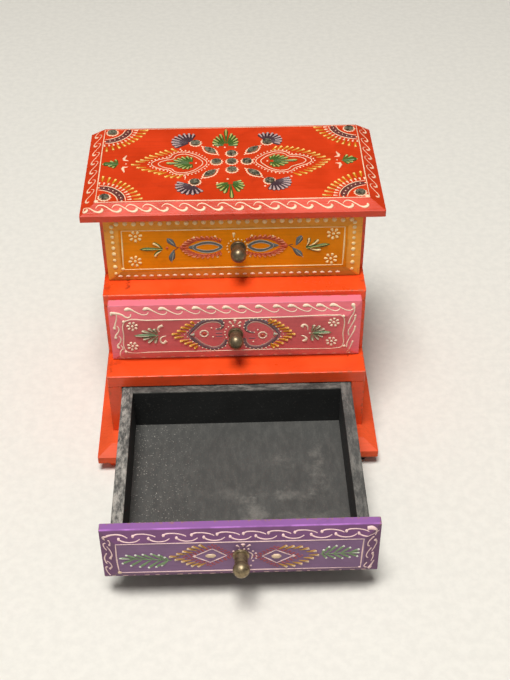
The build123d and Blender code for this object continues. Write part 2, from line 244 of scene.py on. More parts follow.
class Finish:
    """A material under construction: short calls that add and join its nodes."""

    def __init__(self, name, rough=0.5, metal=0.0):
        self.material = bpy.data.materials.new(name)
        self.material.use_nodes = True
        self.tree = self.material.node_tree
        self.shader = self.tree.nodes["Principled BSDF"]
        self.shader.inputs["Roughness"].default_value = rough
        self.shader.inputs["Metallic"].default_value = metal
        self.place = self.tree.nodes.new("ShaderNodeTexCoord").outputs["Object"]

    def put(self, socket, value):
        """Joins a link, or sets a constant."""
        if isinstance(value, bpy.types.NodeSocket):
            self.tree.links.new(value, socket)
        elif socket.type == "RGBA":
            socket.default_value = (*value[:3], 1.0)
        else:
            socket.default_value = value

    def stretched(self, scale, move=(0, 0, 0)):
        """Object coordinates scaled along each axis."""
        node = self.tree.nodes.new("ShaderNodeMapping")
        self.put(node.inputs["Vector"], self.place)
        node.inputs["Scale"].default_value = scale
        node.inputs["Location"].default_value = move
        return node.outputs["Vector"]

    def noise(self, scale, detail=4.0, rough=0.55, bend=0.0, move=(0, 0, 0)):
        """Cloudy pattern; scale is repeats per metre, one number or one for each axis."""
        node = self.tree.nodes.new("ShaderNodeTexNoise")
        each = scale if isinstance(scale, tuple) else (scale,) * 3
        self.put(node.inputs["Vector"], self.stretched(each, move))
        node.inputs["Scale"].default_value = 1.0
        node.inputs["Detail"].default_value = detail
        node.inputs["Roughness"].default_value = rough
        node.inputs["Distortion"].default_value = bend
        return node.outputs["Fac"]

    def math(self, kind, one, two=0.0):
        """One sum."""
        node = self.tree.nodes.new("ShaderNodeMath")
        node.operation = kind
        self.put(node.inputs[0], one)
        self.put(node.inputs[1], two)
        return node.outputs[0]

    def between(self, value, low, high, start=0.0, end=1.0):
        """Runs from start to end as value goes from low to high."""
        node = self.tree.nodes.new("ShaderNodeMapRange")
        node.interpolation_type = "SMOOTHSTEP"
        self.put(node.inputs["Value"], value)
        node.inputs["From Min"].default_value = low
        node.inputs["From Max"].default_value = high
        node.inputs["To Min"].default_value = start
        node.inputs["To Max"].default_value = end
        return node.outputs["Result"]

    def mix(self, factor, one, two):
        """One colour going into another."""
        node = self.tree.nodes.new("ShaderNodeMix")
        node.data_type = "RGBA"
        self.put(node.inputs["Factor"], factor)
        self.put(node.inputs[6], one)
        self.put(node.inputs[7], two)
        return node.outputs[2]

    def axes(self):
        """The three object coordinates."""
        node = self.tree.nodes.new("ShaderNodeSeparateXYZ")
        self.put(node.inputs[0], self.place)
        return node.outputs

    def edge_gap(self, low, high):
        """Distance to the nearest edge of a board that fills this box."""
        gaps = []
        for axis, at in enumerate(self.axes()):
            centre = (low[axis] + high[axis]) / 2
            half = (high[axis] - low[axis]) / 2
            off = self.math("ABSOLUTE", self.math("SUBTRACT", at, centre))
            gaps.append(self.math("SUBTRACT", half, off))
        first = self.math("MINIMUM", gaps[0], gaps[1])
        second = self.math("MINIMUM", self.math("MAXIMUM", gaps[0], gaps[1]), gaps[2])
        return self.math("MAXIMUM", first, second)

    def raise_by(self, height, depth, strength=1.0):
        """Fine relief; depth is in metres."""
        node = self.tree.nodes.new("ShaderNodeBump")
        node.inputs["Strength"].default_value = strength
        node.inputs["Distance"].default_value = depth
        self.put(node.inputs["Height"], height)
        self.put(self.shader.inputs["Normal"], node.outputs["Normal"])

    def smudge(self, base, place, reach, tint, most, grit=330.0, edge=0.2):
        """A ragged mark at one place; place is in metres and reach is its half size on each axis."""
        offs = []
        for axis, at in enumerate(self.axes()):
            off = self.math("DIVIDE", self.math("SUBTRACT", at, place[axis]), reach[axis])
            offs.append(self.math("MULTIPLY", off, off))
        far = self.math("ADD", self.math("ADD", offs[0], offs[1]), offs[2])
        ragged = self.math("ADD", far, self.between(self.noise(grit, 6.0, 0.7), 0.3, 0.7, -0.9, 0.9))
        return self.mix(self.between(ragged, 1.0, edge, 0.0, most), base, tint)

    def stain(self, base, pattern, low, high, most, tint):
        """A tint over a colour where a pattern is strong."""
        return self.mix(self.between(pattern, low, high, 0.0, most), base, tint)

    def rubbed_edges(self, low, high, scale, bite, spare, reach, most):
        """How far the edges of a board are rubbed, along a ragged line."""
        ragged = self.between(self.noise(scale, 5.0, 0.7), 0.3, 0.7, -bite, spare)
        gap = self.math("ADD", self.edge_gap(low, high), ragged)
        return self.between(gap, reach, 0.0, 0.0, most)

    def brush_marks(self, streaks, grit, part):
        """Relief of brush streaks with a part of finer grit."""
        ripple = self.math("ADD", streaks, self.math("MULTIPLY", grit, part))
        self.raise_by(ripple, BRUSH_DEPTH, BRUSH_STRENGTH)

    def gloss(self, value):
        """How strongly the surface mirrors its surroundings."""
        self.put(self.shader.inputs["Specular IOR Level"], value)

    def colour(self, value):
        """Joins or sets the surface's colour."""
        self.put(self.shader.inputs["Base Color"], value)

    def rough(self, value):
        """Joins or sets the surface's roughness."""
        self.put(self.shader.inputs["Roughness"], value)


def shade(tint, factor):
    """A colour made darker or lighter."""
    return tuple(min(1.0, part * factor) for part in tint)


def coat(node, finish):
    """Puts a finish on a CAD node's own slot."""
    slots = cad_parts[node].data.materials
    slots.clear()
    slots.append(finish.material)


def drawn_out(across, along, grain):
    """Repeats per metre of a pattern that is drawn out along the grain axis."""
    scale = [across, across, across]
    scale[grain] = along
    return tuple(scale)


def brushed_colour(finish, tint, grain):
    """Paint with broad mottling and brush streaks along the grain axis."""
    streaks = finish.noise(drawn_out(BRUSH_ACROSS, BRUSH_ALONG, grain), 3.0, 0.6)
    mottle = finish.noise(BROAD_MOTTLE, 3.0, 0.55, 0.4)
    base = finish.mix(finish.between(mottle, 0.3, 0.72), shade(tint, 0.86), shade(tint, 1.08))
    base = finish.stain(base, streaks, 0.42, 0.75, 0.3, shade(tint, 0.66))
    return base, streaks, mottle


def painted_board(node, tint, grain, wood, grime=0.35, wear=0.5, rough=0.34, marks=(), peel=0.35, gloss=0.5):
    """Gloss paint on a wooden board, with grime in patches and rubbed edges."""
    low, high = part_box(node)
    finish = Finish(f"{node}_paint", rough)
    finish.gloss(gloss)
    base, streaks, mottle = brushed_colour(finish, tint, grain)
    smears = finish.noise((46.0, 46.0, 90.0), 7.0, 0.66, 0.8, (3.1, 0.7, 1.9))
    base = finish.stain(base, smears, 0.56, 0.78, grime, shade(tint, 0.3))
    flecks = finish.noise(FINE_FLECKS, 2.0, 0.5)
    base = finish.stain(base, flecks, 0.7, 0.8, 0.35, shade(tint, 0.45))
    rubbed = finish.rubbed_edges(low, high, 260.0, 0.0016, 0.0022, 0.0009, wear)
    base = finish.mix(rubbed, base, finish.mix(0.5, shade(tint, 0.45), shade(wood, 0.6)))
    for place, reach, most in marks:
        base = finish.smudge(base, place, reach, shade(tint, 0.16), most, 210.0, -0.8)
    finish.colour(base)
    sheen = finish.between(mottle, 0.3, 0.75, rough - 0.07, rough + 0.1)
    finish.rough(finish.math("ADD", sheen, finish.math("MULTIPLY", rubbed, 0.35)))
    finish.brush_marks(streaks, finish.noise(FINE_FLECKS, 2.0), peel)
    coat(node, finish)


def front_paint(tier, panel, border, edge, sill, wood, arris_highlight):
    """Paint of a drawer front: dusty panel inside lighter bevels; grime and painted shade in the fold; a
    painted highlight on the upper arris.
    """
    node = f"{tier}_drawer_front"
    low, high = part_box(node)
    finish = Finish(f"{tier}_front_paint", 0.42)
    finish.gloss(0.14)
    inner, streaks, mottle = brushed_colour(finish, panel, ALONG_X)
    outer, _, _ = brushed_colour(finish, border, ALONG_X)
    lower, _, _ = brushed_colour(finish, sill, ALONG_X)
    x, y, z = finish.axes()
    outer = finish.mix(finish.between(z, high.z - 0.0007, high.z - 0.0002), outer, edge)
    # Distances inside the fold between the panel and each bevel
    ends = finish.math("SUBTRACT", high.x - FRONT_END_BEVEL * MM, finish.math("ABSOLUTE", x))
    foot = finish.math("SUBTRACT", z, low.z + FRONT_FOOT_BEVEL * MM)
    head = finish.math("SUBTRACT", high.z - FRONT_HEAD_BEVELS[tier] * MM, z)
    inside = finish.math("MINIMUM", finish.math("MINIMUM", foot, head), ends)
    under = finish.math("MAXIMUM", foot, finish.math("SUBTRACT", foot, ends))
    outer = finish.mix(finish.between(under, 0.0, -0.0005), outer, lower)
    base = finish.mix(finish.between(inside, -0.0003, 0.0004), outer, inner)
    # Grime and painted shade darken the fold where the panel meets its bevels, in noisy patches
    fold = finish.between(finish.math("ABSOLUTE", inside), 0.0016, 0.0, 0.0, 0.35)
    grime = finish.math("MULTIPLY", fold, finish.between(finish.noise(90.0), 0.35, 0.65))
    base = finish.mix(grime, base, shade(panel, 0.4))
    smears = finish.noise((60.0, 60.0, 110.0), 7.0, 0.66, 0.8, (1.7, 4.2, 0.4))
    base = finish.stain(base, smears, 0.55, 0.8, 0.4, shade(panel, 0.45))
    rubbed = finish.rubbed_edges(low, high, 300.0, 0.0013, 0.002, 0.0008, 0.5)
    base = finish.mix(rubbed, base, shade(wood, 0.75))
    # Painted highlight: a pale line along the upper arris, broken in places, where the edge catches the
    # light
    drop = finish.math("ABSOLUTE", finish.math("SUBTRACT", y, low.y + FRONT_DROPS[tier] * MM))
    off = finish.math("MAXIMUM", drop, finish.math("SUBTRACT", high.z, z))
    breaks = finish.between(finish.noise(70.0), 0.35, 0.6, 0.2, 1.0)
    pale = finish.math("MULTIPLY", finish.between(off, 0.0008, 0.0002), breaks)
    base = finish.mix(finish.math("MULTIPLY", pale, arris_highlight), base, shade(edge, 2.2))
    finish.colour(base)
    finish.rough(finish.between(mottle, 0.3, 0.75, 0.36, 0.52))
    finish.brush_marks(streaks, finish.noise(1500.0, 2.0), 0.35)
    coat(node, finish)


def dusty_board(tier, board, paints, grain, rim, depth, marks=(), left_specks=0.25):
    """Thin charcoal paint with chalky dust, specks at the left and a rubbed rim."""
    node = f"{tier}_drawer_{board}"
    low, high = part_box(node)
    # The charcoal is darkened by the given share; the back wall's low share is painted shade deep inside the
    # drawer
    tint = shade(paints.charcoal, depth)
    finish = Finish(f"{tier}_{board}_paint", 0.75)
    finish.gloss(0.25)
    mottle = finish.noise(BROAD_MOTTLE, 4.0, 0.6, 0.4)
    base = finish.mix(finish.between(mottle, 0.3, 0.72), shade(tint, 0.78), shade(tint, 1.12))
    streaks = finish.noise(drawn_out(420.0, 14.0, grain), 3.0, 0.6)
    base = finish.stain(base, streaks, 0.45, 0.75, 0.06, shade(tint, 1.9))
    for place, reach, most in marks:
        base = finish.smudge(base, place, reach, paints.chalk, most, 75.0, -1.6)
    specks = finish.noise(FINE_FLECKS, 1.0, 0.5)
    x, _, z = finish.axes()
    beside = finish.between(x, low.x + 0.4 * (high.x - low.x), low.x, 0.06, left_specks)
    dust = finish.math("MULTIPLY", finish.between(specks, 0.66, 0.72), beside)
    base = finish.mix(dust, base, paints.chalk)
    top = finish.between(z, high.z - 0.0016, high.z - 0.0003)
    patches = finish.noise(drawn_out(260.0, 90.0, grain), 8.0, 0.8)
    rubbed = finish.math("MULTIPLY", top, finish.between(patches, 0.4, 0.66, 0.05, rim))
    base = finish.mix(rubbed, base, shade(paints.chalk, 1.25))
    finish.colour(base)
    finish.rough(finish.between(mottle, 0.3, 0.75, 0.65, 0.88))
    finish.brush_marks(streaks, specks, 0.5)
    coat(node, finish)


def plain_wood(node, wood):
    """Unpainted board, with grain up the board."""
    finish = Finish(f"{node}_wood", 0.62)
    rings = finish.noise((150.0, 150.0, 9.0), 5.0, 0.6, 0.9)
    pores = finish.noise((1400.0, 1400.0, 60.0), 3.0, 0.6)
    base = finish.mix(finish.between(rings, 0.35, 0.68), shade(wood, 0.62), shade(wood, 1.1))
    base = finish.stain(base, pores, 0.58, 0.75, 0.55, shade(wood, 0.35))
    stains = finish.noise(22.0, 6.0, 0.65, 0.6)
    base = finish.stain(base, stains, 0.52, 0.75, 0.45, shade(wood, 0.4))
    finish.colour(base)
    finish.rough(finish.between(rings, 0.3, 0.7, 0.5, 0.75))
    finish.raise_by(finish.math("ADD", rings, pores), 0.0002, 0.6)
    coat(node, finish)


class DRAWER_BOX_OT_carcass_paint(bpy.types.Operator):
    """Paint the lid, shelves, sides, base plate, feet and back panel"""
    bl_idname = "drawer_box.carcass_paint"
    bl_label = "Carcass paint"

    def execute(self, context):
        paints = context.scene.drawer_box_paints
        wood = paints.wood
        painted_board("lid", paints.lid_red, ALONG_X, wood, 0.3, 0.4, 0.33, peel=0.8)
        painted_board("base_plate", paints.plate_red, ALONG_X, wood, rough=0.42, peel=3.0, gloss=0.15)
        for shelf, knocks in LEDGE_KNOCKS.items():
            low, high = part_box(shelf)
            marks = []
            for x, part, across, deep, most in knocks:
                place = (x * MM, low.y + LEDGE_DEPTH * MM * part, high.z)
                marks.append((place, (across * MM, deep * MM, KNOCK_HEIGHT), most))
            painted_board(shelf, paints.red, ALONG_X, wood, marks=marks)
        for tier in TIERS:
            for side in ("left", "right"):
                painted_board(f"{tier}_{side}_side", paints.red, ALONG_Y, wood, 0.5)
        for end in ("front", "back"):
            painted_board(f"{end}_left_foot", paints.red, ALONG_X, wood, 0.6, 0.8)
            painted_board(f"{end}_right_foot", paints.black, ALONG_X, wood, 0.3, 0.7)
        plain_wood("back_panel", wood)
        return {"FINISHED"}


class DRAWER_BOX_OT_drawer_paint(bpy.types.Operator):
    """Paint the drawer fronts and the dusty insides of the drawers"""
    bl_idname = "drawer_box.drawer_paint"
    bl_label = "Drawer paint"

    def execute(self, context):
        paints = context.scene.drawer_box_paints
        # The last value is the strength of the painted highlight along each front's upper arris
        for tier, panel, border, edge, sill, arris_highlight in (
                ("top", "ochre", "ochre_border", "ochre_border", "ochre_foot", 0.2),
                ("middle", "pink", "pink_border", "pink_edge", "pink_foot", 0.3),
                ("bottom", "purple", "purple_border", "purple_edge", "purple_border", 0.8)):
            tints = [getattr(paints, name) for name in (panel, border, edge, sill)]
            front_paint(tier, *tints, paints.wood, arris_highlight)
        for tier in TIERS:
            dusty_board(tier, "left_wall", paints, ALONG_Y, 0.72, 0.7)
            dusty_board(tier, "right_wall", paints, ALONG_Y, 0.28, 0.7)
            # The back wall's charcoal is darkened to 0.3 as painted shade
            dusty_board(tier, "back_wall", paints, ALONG_X, 0.3, 0.3, left_specks=0.1)
            low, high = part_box(f"{tier}_drawer_bottom_board")
            wide, deep = high.x - low.x, high.y - low.y
            wipes = []
            for x, y, across, along, most in FLOOR_WIPES:
                place = (low.x + wide * x, low.y + deep * y, high.z)
                wipes.append((place, (wide * across, deep * along, WIPE_HEIGHT), most))
            dusty_board(tier, "bottom_board", paints, ALONG_Y, 0.1, 0.62, wipes, 0.75)
        return {"FINISHED"}


class DRAWER_BOX_OT_metalwork(bpy.types.Operator):
    """Finish the brass knobs, the steel fastenings and the small mirrors"""
    bl_idname = "drawer_box.metalwork"
    bl_label = "Metalwork and mirrors"

    def execute(self, context):
        paints = context.scene.drawer_box_paints
        # Tarnish in patches; its least share rises from the bottom knob to the top one, standing in part for
        # painted shade under the lid
        for tier, least_tarnish_and_shade in (("bottom", 0.05), ("middle", 0.3), ("top", 0.5)):
            brass = Finish(f"{tier}_knob_brass", 0.42, 0.8)
            tarnish = brass.noise(240.0, 6.0, 0.65, 0.6)
            scratches = brass.noise((160.0, 1600.0, 160.0), 3.0, 0.6)
            tone = brass.mix(brass.between(tarnish, 0.4, 0.7, least_tarnish_and_shade, 0.85), paints.brass, paints.patina)
            brass.colour(brass.stain(tone, scratches, 0.6, 0.75, 0.4, shade(paints.brass, 1.5)))
            brass.rough(brass.between(tarnish, 0.35, 0.7, 0.32, 0.58))
            brass.raise_by(scratches, 0.00006, 0.5)
            coat(f"{tier}_knob", brass)
        steel = Finish("dull_steel", 0.45, 1.0)
        rust = steel.noise(1100.0, 5.0, 0.65)
        steel.colour(steel.stain(paints.steel, rust, 0.5, 0.72, 0.7, shade(paints.wood, 0.3)))
        steel.rough(steel.between(rust, 0.35, 0.7, 0.35, 0.7))
        steel.raise_by(rust, 0.00004, 0.5)
        glass = Finish("aged_mirror", 0.1, 0.55)
        clouds = glass.noise(420.0, 5.0, 0.6, 0.5)
        tone = glass.stain(paints.mirror, clouds, 0.36, 0.62, 0.9, shade(paints.patina, 0.7))
        # Painted glints: pale cream specks on the glass stand for small reflections
        painted_glints = glass.noise(FINE_FLECKS, 2.0, 0.5, 0.3, (2.0, 5.0, 1.0))
        glass.colour(glass.stain(tone, painted_glints, 0.62, 0.72, 0.8, paints.cream))
        glass.rough(glass.between(clouds, 0.4, 0.7, 0.06, 0.24))
        glass.raise_by(clouds, 0.00005, 0.5)
        for node in ("round_mirrors", "leaf_mirrors"):
            coat(node, glass)
        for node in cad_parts:
            if node.endswith(("brads", "washer", "nut")):
                coat(node, steel)
        return {"FINISHED"}


def relief_paint(name, tint, rough=0.42):
    """Thick cone paint, one material for each colour."""
    known = bpy.data.materials.get(name)
    if known:
        return known
    finish = Finish(name, rough)
    cloud = finish.noise(180.0, 4.0, 0.6)
    grit = finish.noise(2200.0, 2.0, 0.5)
    base = finish.mix(finish.between(cloud, 0.3, 0.7), shade(tint, 0.82), shade(tint, 1.06))
    base = finish.stain(base, grit, 0.6, 0.78, 0.25, shade(tint, 0.5))
    finish.colour(base)
    finish.rough(finish.between(cloud, 0.3, 0.7, rough - 0.08, rough + 0.1))
    finish.raise_by(finish.math("ADD", cloud, finish.math("MULTIPLY", grit, 0.3)), 0.0001, 0.5)
    return finish.material


class LidFace:
    """Top of the lid: millimetres to the right and back from the middle of its rear edge."""

    body = "carcass"

    def __init__(self):
        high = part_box("lid")[1]
        self.place = Matrix.Translation((0.0, high.y, high.z)) @ Matrix.Scale(MM, 4)

    def dip(self, x, y):
        """How far the bevels fall below the flat top at a point."""
        run = max(abs(x) - LID_HALF, -LID_DEPTH - y, 0.0)
        return LID_DROP * run / LID_BEVEL


class FrontFace:
    """Face of a drawer front: millimetres to the right and up from the floor of its tier."""

    def __init__(self, tier):
        low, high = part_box(f"{tier}_drawer_front")
        self.body = f"{tier}_drawer"
        floor = low.z - FRONT_LIFT * MM
        turn = Matrix(((1, 0, 0, 0), (0, 0, -1, 0), (0, 1, 0, 0), (0, 0, 0, 1)))
        self.place = Matrix.Translation((0.0, low.y, floor)) @ turn @ Matrix.Scale(MM, 4)
        self.half = high.x / MM - FRONT_END_BEVEL
        self.drop = FRONT_DROPS[tier]
        self.head_bevel = FRONT_HEAD_BEVELS[tier]
        self.foot = FRONT_LIFT + FRONT_FOOT_BEVEL
        self.head = (high.z - floor) / MM - self.head_bevel

    def dip(self, x, z):
        """How far the bevels fall behind the flat panel at a point."""
        ends = (abs(x) - self.half) / FRONT_END_BEVEL
        rails = max((self.foot - z) / FRONT_FOOT_BEVEL, (z - self.head) / self.head_bevel)
        return self.drop * max(ends, rails, 0.0)


def part_way(one, two, part):
    """The point some part of the way from one point to another."""
    return tuple(Vector(one).lerp(Vector(two), part))


def swollen(path, centre, wide, high):
    """A path grown about a centre."""
    return [((x - centre[0]) * wide + centre[0], (y - centre[1]) * high + centre[1]) for x, y in path]


def kept_between(path, low, high):
    """A path that stays between two heights."""
    return [(x, min(max(y, low), high)) for x, y in path]


def closed_below(upper):
    """A closed outline: an upper half from end to end and its mirror image below."""
    return [*upper, *((along, -off) for along, off in reversed(upper[1:-1]))]


def circle(centre, radius, count):
    """Points evenly round a circle."""
    turns = [math.tau * at / count for at in range(count)]
    return [(centre[0] + radius * math.cos(turn), centre[1] + radius * math.sin(turn)) for turn in turns]


class Cone:
    """A paint cone: gathers strokes and dots for one face and lays them as raised paint."""

    washes = ("slate", "band", "plum")

    def __init__(self, face, context):
        self.face = face
        self.paints = context.scene.drawer_box_paints
        self.sizes = context.scene.drawer_box_relief
        self.strokes = {}
        self.dots = {}
        self.half_line = self.sizes.line / MM / 2
        self.half_dot = self.sizes.dot / MM / 2

    def stroke(self, paint, points, closed=False, lift=0.0):
        """A stroke through points of x, y and half width, lifted onto other paint."""
        self.strokes.setdefault(paint, []).append((points, closed, lift))

    def line(self, paint, path, half=None, closed=False, lift=0.0):
        """A stroke of one width, thinner at open ends."""
        half = half or self.half_line
        last = len(path) - 1
        points = []
        for at, (x, y) in enumerate(path):
            thin = 0.55 if not closed and at in (0, last) else 1.0
            points.append((x, y, half * thin))
        self.stroke(paint, points, closed, lift)

    def dot(self, paint, x, y, half=None, lift=0.0):
        """A round drop."""
        self.dots.setdefault(paint, []).append((x, y, half or self.half_dot, lift))

    def scatter(self, paint, places, half=None):
        """Dots of one size at given places."""
        for x, y in places:
            self.dot(paint, x, y, half)

    def row(self, paint, path, gap, half, closed=False):
        """Dots spaced evenly along a path."""
        corners = [Vector(point) for point in path]
        if closed:
            corners.append(corners[0])
        total = sum((b - a).length for a, b in zip(corners, corners[1:]))
        count = max(2, round(total / gap))
        step = total / (count if closed else count - 1)
        travelled, mark = 0.0, 0
        for a, b in zip(corners, corners[1:]):
            run = (b - a).length
            while mark < count and mark * step <= travelled + run + 1e-6:
                spot = a.lerp(b, (mark * step - travelled) / run)
                self.dot(paint, spot.x, spot.y, half)
                mark += 1
            travelled += run

    def drop(self, paint, head, tail, half, bend=0.0, lift=0.0, thin=0.25):
        """A round head drawn out to a thin tail."""
        run = Vector(tail) - Vector(head)
        points = []
        for along, size in ((0.0, 0.2), (0.05, 0.7), (0.16, 1.0), (0.45, 0.5 + thin), (1.0, thin)):
            sway = bend * 4 * along * (1 - along)
            points.append((head[0] + along * run.x - sway * run.y,
                           head[1] + along * run.y + sway * run.x, half * size))
        self.stroke(paint, points, False, lift)

    def lens(self, paint, one, two, half, lift, swell):
        """A leaf blade pointed at both ends, widest at a part of its length."""
        blade = ((0.0, 0.12), (swell * 0.5, 0.75), (swell, 1.0), ((1 + swell) / 2, 0.7), (1.0, 0.12))
        points = [(*part_way(one, two, along), half * size) for along, size in blade]
        self.stroke(paint, points, False, lift)

    def lobe(self, paint, root, tip, half, gap=0.2):
        """A leaf lobe with a pale end, which starts some part of the way from its root."""
        start = part_way(root, tip, gap)
        self.drop(paint, tip, start, half)
        self.drop(f"{paint}_tip", tip, part_way(tip, start, 0.5), half * 0.62, 0.0, half * 0.6)

    def palm(self, paint, root, tips, half):
        """Lobes fanned out from one root."""
        for tip in tips:
            self.lobe(paint, root, tip, half)

    def flames(self, heads, focus, reach=6.5, thin=0.3, paint="flame"):
        """Drops whose tails run towards a focus."""
        half = self.sizes.flame / MM / 2
        for head in heads:
            tail = Vector(head) + (Vector(focus) - Vector(head)).normalized() * reach
            self.drop(paint, head, tuple(tail), half, 0.0, 0.0, thin)
            self.drop(f"{paint}_tip", head, part_way(head, tail, 0.42), half * 0.86, 0.0, half * 0.5)

    def ring(self, paint, centre, radius, half, scallops=0):
        """A ring; scallops make its width swell and shrink."""
        swells = (0.8, 1.25) if scallops else (1.0, 1.0)
        path = circle(centre, radius, max(12, scallops * 2))
        points = [(x, y, half * swells[at % 2]) for at, (x, y) in enumerate(path)]
        self.stroke(paint, points, True)

    def flower(self, paint, x, y, radius, turn, petals=7):
        """A ring of short petals round a dot."""
        self.dot(paint, x, y, self.half_dot * 1.3)
        for at in range(petals):
            angle = turn + math.tau * at / petals
            out = Vector((math.cos(angle), math.sin(angle))) * radius
            self.drop(paint, (x + out.x * 1.24, y + out.y * 1.24), (x + out.x * 0.58, y + out.y * 0.58),
                      self.half_dot * 1.1, 0.0, 0.0, 0.55)

    def comma(self, paint, points, head):
        """A scroll stroke with a round drop of half width head at its start."""
        self.stroke(paint, points)
        self.dot(paint, points[0][0], points[0][1], head)

    def scrolls(self, paint, strokes, swell):
        """Scroll strokes whose round heads swell past their first half width."""
        for points in strokes:
            self.comma(paint, points, points[0][2] * swell)

    def stroke_mesh(self, strokes):
        """The strokes as one mesh of tapered tubes."""
        curve = bpy.data.curves.new("strokes", "CURVE")
        curve.dimensions = "3D"
        curve.bevel_depth = 1.0
        curve.bevel_resolution = STROKE_ROUNDING
        curve.resolution_u = STROKE_STEPS
        curve.use_fill_caps = True
        for points, closed, lift in strokes:
            spline = curve.splines.new("BEZIER")
            spline.bezier_points.add(len(points) - 1)
            spline.use_cyclic_u = closed
            for knot, (x, y, half) in zip(spline.bezier_points, points):
                knot.co = (x, y, lift)
                knot.radius = half
                knot.handle_left_type = "AUTO"
                knot.handle_right_type = "AUTO"
        holder = bpy.data.objects.new("strokes", curve)
        mesh = bpy.data.meshes.new_from_object(holder)
        bpy.data.objects.remove(holder)
        bpy.data.curves.remove(curve)
        return mesh

    def dot_mesh(self, dots):
        """A few dots as one mesh."""
        form = bmesh.new()
        for x, y, half, lift in dots:
            bmesh.ops.create_uvsphere(
                form, u_segments=DOT_SEGMENTS, v_segments=DOT_RINGS, radius=half,
                matrix=Matrix.Translation((x, y, lift)))
        mesh = bpy.data.meshes.new("dots")
        form.to_mesh(mesh)
        form.free()
        return mesh

    def lay(self, name):
        """Makes one piece for each paint, seated on the face, and lets it ride."""
        for paint in sorted(set(self.strokes) | set(self.dots)):
            form = bmesh.new()
            if paint in self.strokes:
                tubes = self.stroke_mesh(self.strokes[paint])
                form.from_mesh(tubes)
                bpy.data.meshes.remove(tubes)
            dots = self.dots.get(paint, [])
            for first in range(0, len(dots), DOT_BATCH):
                drops = self.dot_mesh(dots[first:first + DOT_BATCH])
                form.from_mesh(drops)
                bpy.data.meshes.remove(drops)
            rise = self.sizes.wash if paint in self.washes else self.sizes.rise
            for corner in form.verts:
                corner.co.z = corner.co.z * rise - self.face.dip(corner.co.x, corner.co.y)
            bmesh.ops.transform(form, matrix=self.face.place, verts=form.verts)
            bmesh.ops.recalc_face_normals(form, faces=form.faces)
            mesh = bpy.data.meshes.new(f"{name}_{paint}")
            form.to_mesh(mesh)
            form.free()
            mesh.shade_smooth()
            mesh.materials.append(relief_paint(f"{paint}_relief", getattr(self.paints, paint)))
            piece = bpy.data.objects.new(f"{name}_{paint}", mesh)
            bpy.context.scene.collection.objects.link(piece)
            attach(piece, self.face.body)


def lid_creases(cone):
    """Cream lines along the creases of the lid."""
    cone.line("ivory", [(-89.8, -1.0), (-90.1, -30), (-89.9, -62), (-90, -94)])
    cone.line("ivory", [(-90, -94), (-40, -93.8), (10, -94.2), (50, -94), (90, -94)])
    cone.line("ivory", [(90, -94), (89.8, -60), (90.1, -28), (90, -1.0)])
    cone.line("ivory", [(-89, -1.2), (0.0, -1.0), (89, -1.2)], 0.35)
    cone.scatter("ivory", [(-89.4, -92.8), (88.6, -92.8)], 1.7)


def lid_scrolls(cone):
    """Running scrolls on the bevels of the lid."""
    # Offset along the run, distance down the bevel and half width
    scroll = ((-15.5, 4.6, 0.25), (-14, 2.6, 0.36), (-11, 2.4, 0.42), (-7, 4.8, 0.42),
              (-3.5, 7.1, 0.55), (-0.6, 7.4, 1.0), (0.9, 6, 1.1), (0.3, 4.8, 0.4))
    slope = LID_BEVEL / math.hypot(LID_BEVEL, LID_DROP)
    left_end = -97.5
    heads = (-96, -86, -74, -63.5, -54.5, -43.5, -31, -19.5, -8, 5.5, 17, 29, 40, 51, 64, 77.5, 87.5)
    for head in heads:
        cone.stroke("ivory", [(max(left_end, head + along), -LID_DEPTH - down * slope, half)
                              for along, down, half in scroll])
    # The two ends take the same scroll, shorter and thinner, cut off at the rear edge
    first_head, gap, shorter, thinner, rear = -7, 11.8, 0.9, 0.72, -0.8
    for side in SIDES:
        for step in range(8):
            head = first_head - gap * step
            points = []
            for along, down, half in scroll:
                y = head - along * shorter
                if y < 0.0 or along > -4:
                    points.append((side * (LID_HALF + down * slope), min(y, rear), half * thinner))
            cone.stroke("ivory", points)


class DRAWER_BOX_OT_lid_border(bpy.types.Operator):
    """Lay the cream crease lines and running scrolls round the lid"""
    bl_idname = "drawer_box.lid_border"
    bl_label = "Lid border"

    def execute(self, context):
        cone = Cone(LidFace(), context)
        lid_creases(cone)
        lid_scrolls(cone)
        cone.lay("lid_border")
        return {"FINISHED"}


def round_mirror_rims(cone, half, bead):
    """Beaded rims of the round mirrors."""
    rim_radius = 3.75
    bead_radius = 4.35
    middle = Vector(MIRROR_MIDDLE)
    spots = [middle]
    for quarter in range(4):
        straight = math.tau * quarter / 4
        slant = straight + math.tau / 8
        spots.append(middle + MIRROR_NEAR * Vector((math.cos(straight), math.sin(straight))))
        spots.append(middle + MIRROR_FAR * Vector((math.cos(slant), math.sin(slant))))
    for side in SIDES:
        for y in (-MIRROR_CORNER, MIRROR_CORNER - LID_DEPTH):
            spots.append(Vector((side * (LID_HALF - MIRROR_CORNER), y)))
    for spot in spots:
        cone.ring("ivory", spot, rim_radius, half)
        cone.row("ivory", circle(spot, bead_radius, 12), 2.1, bead, True)


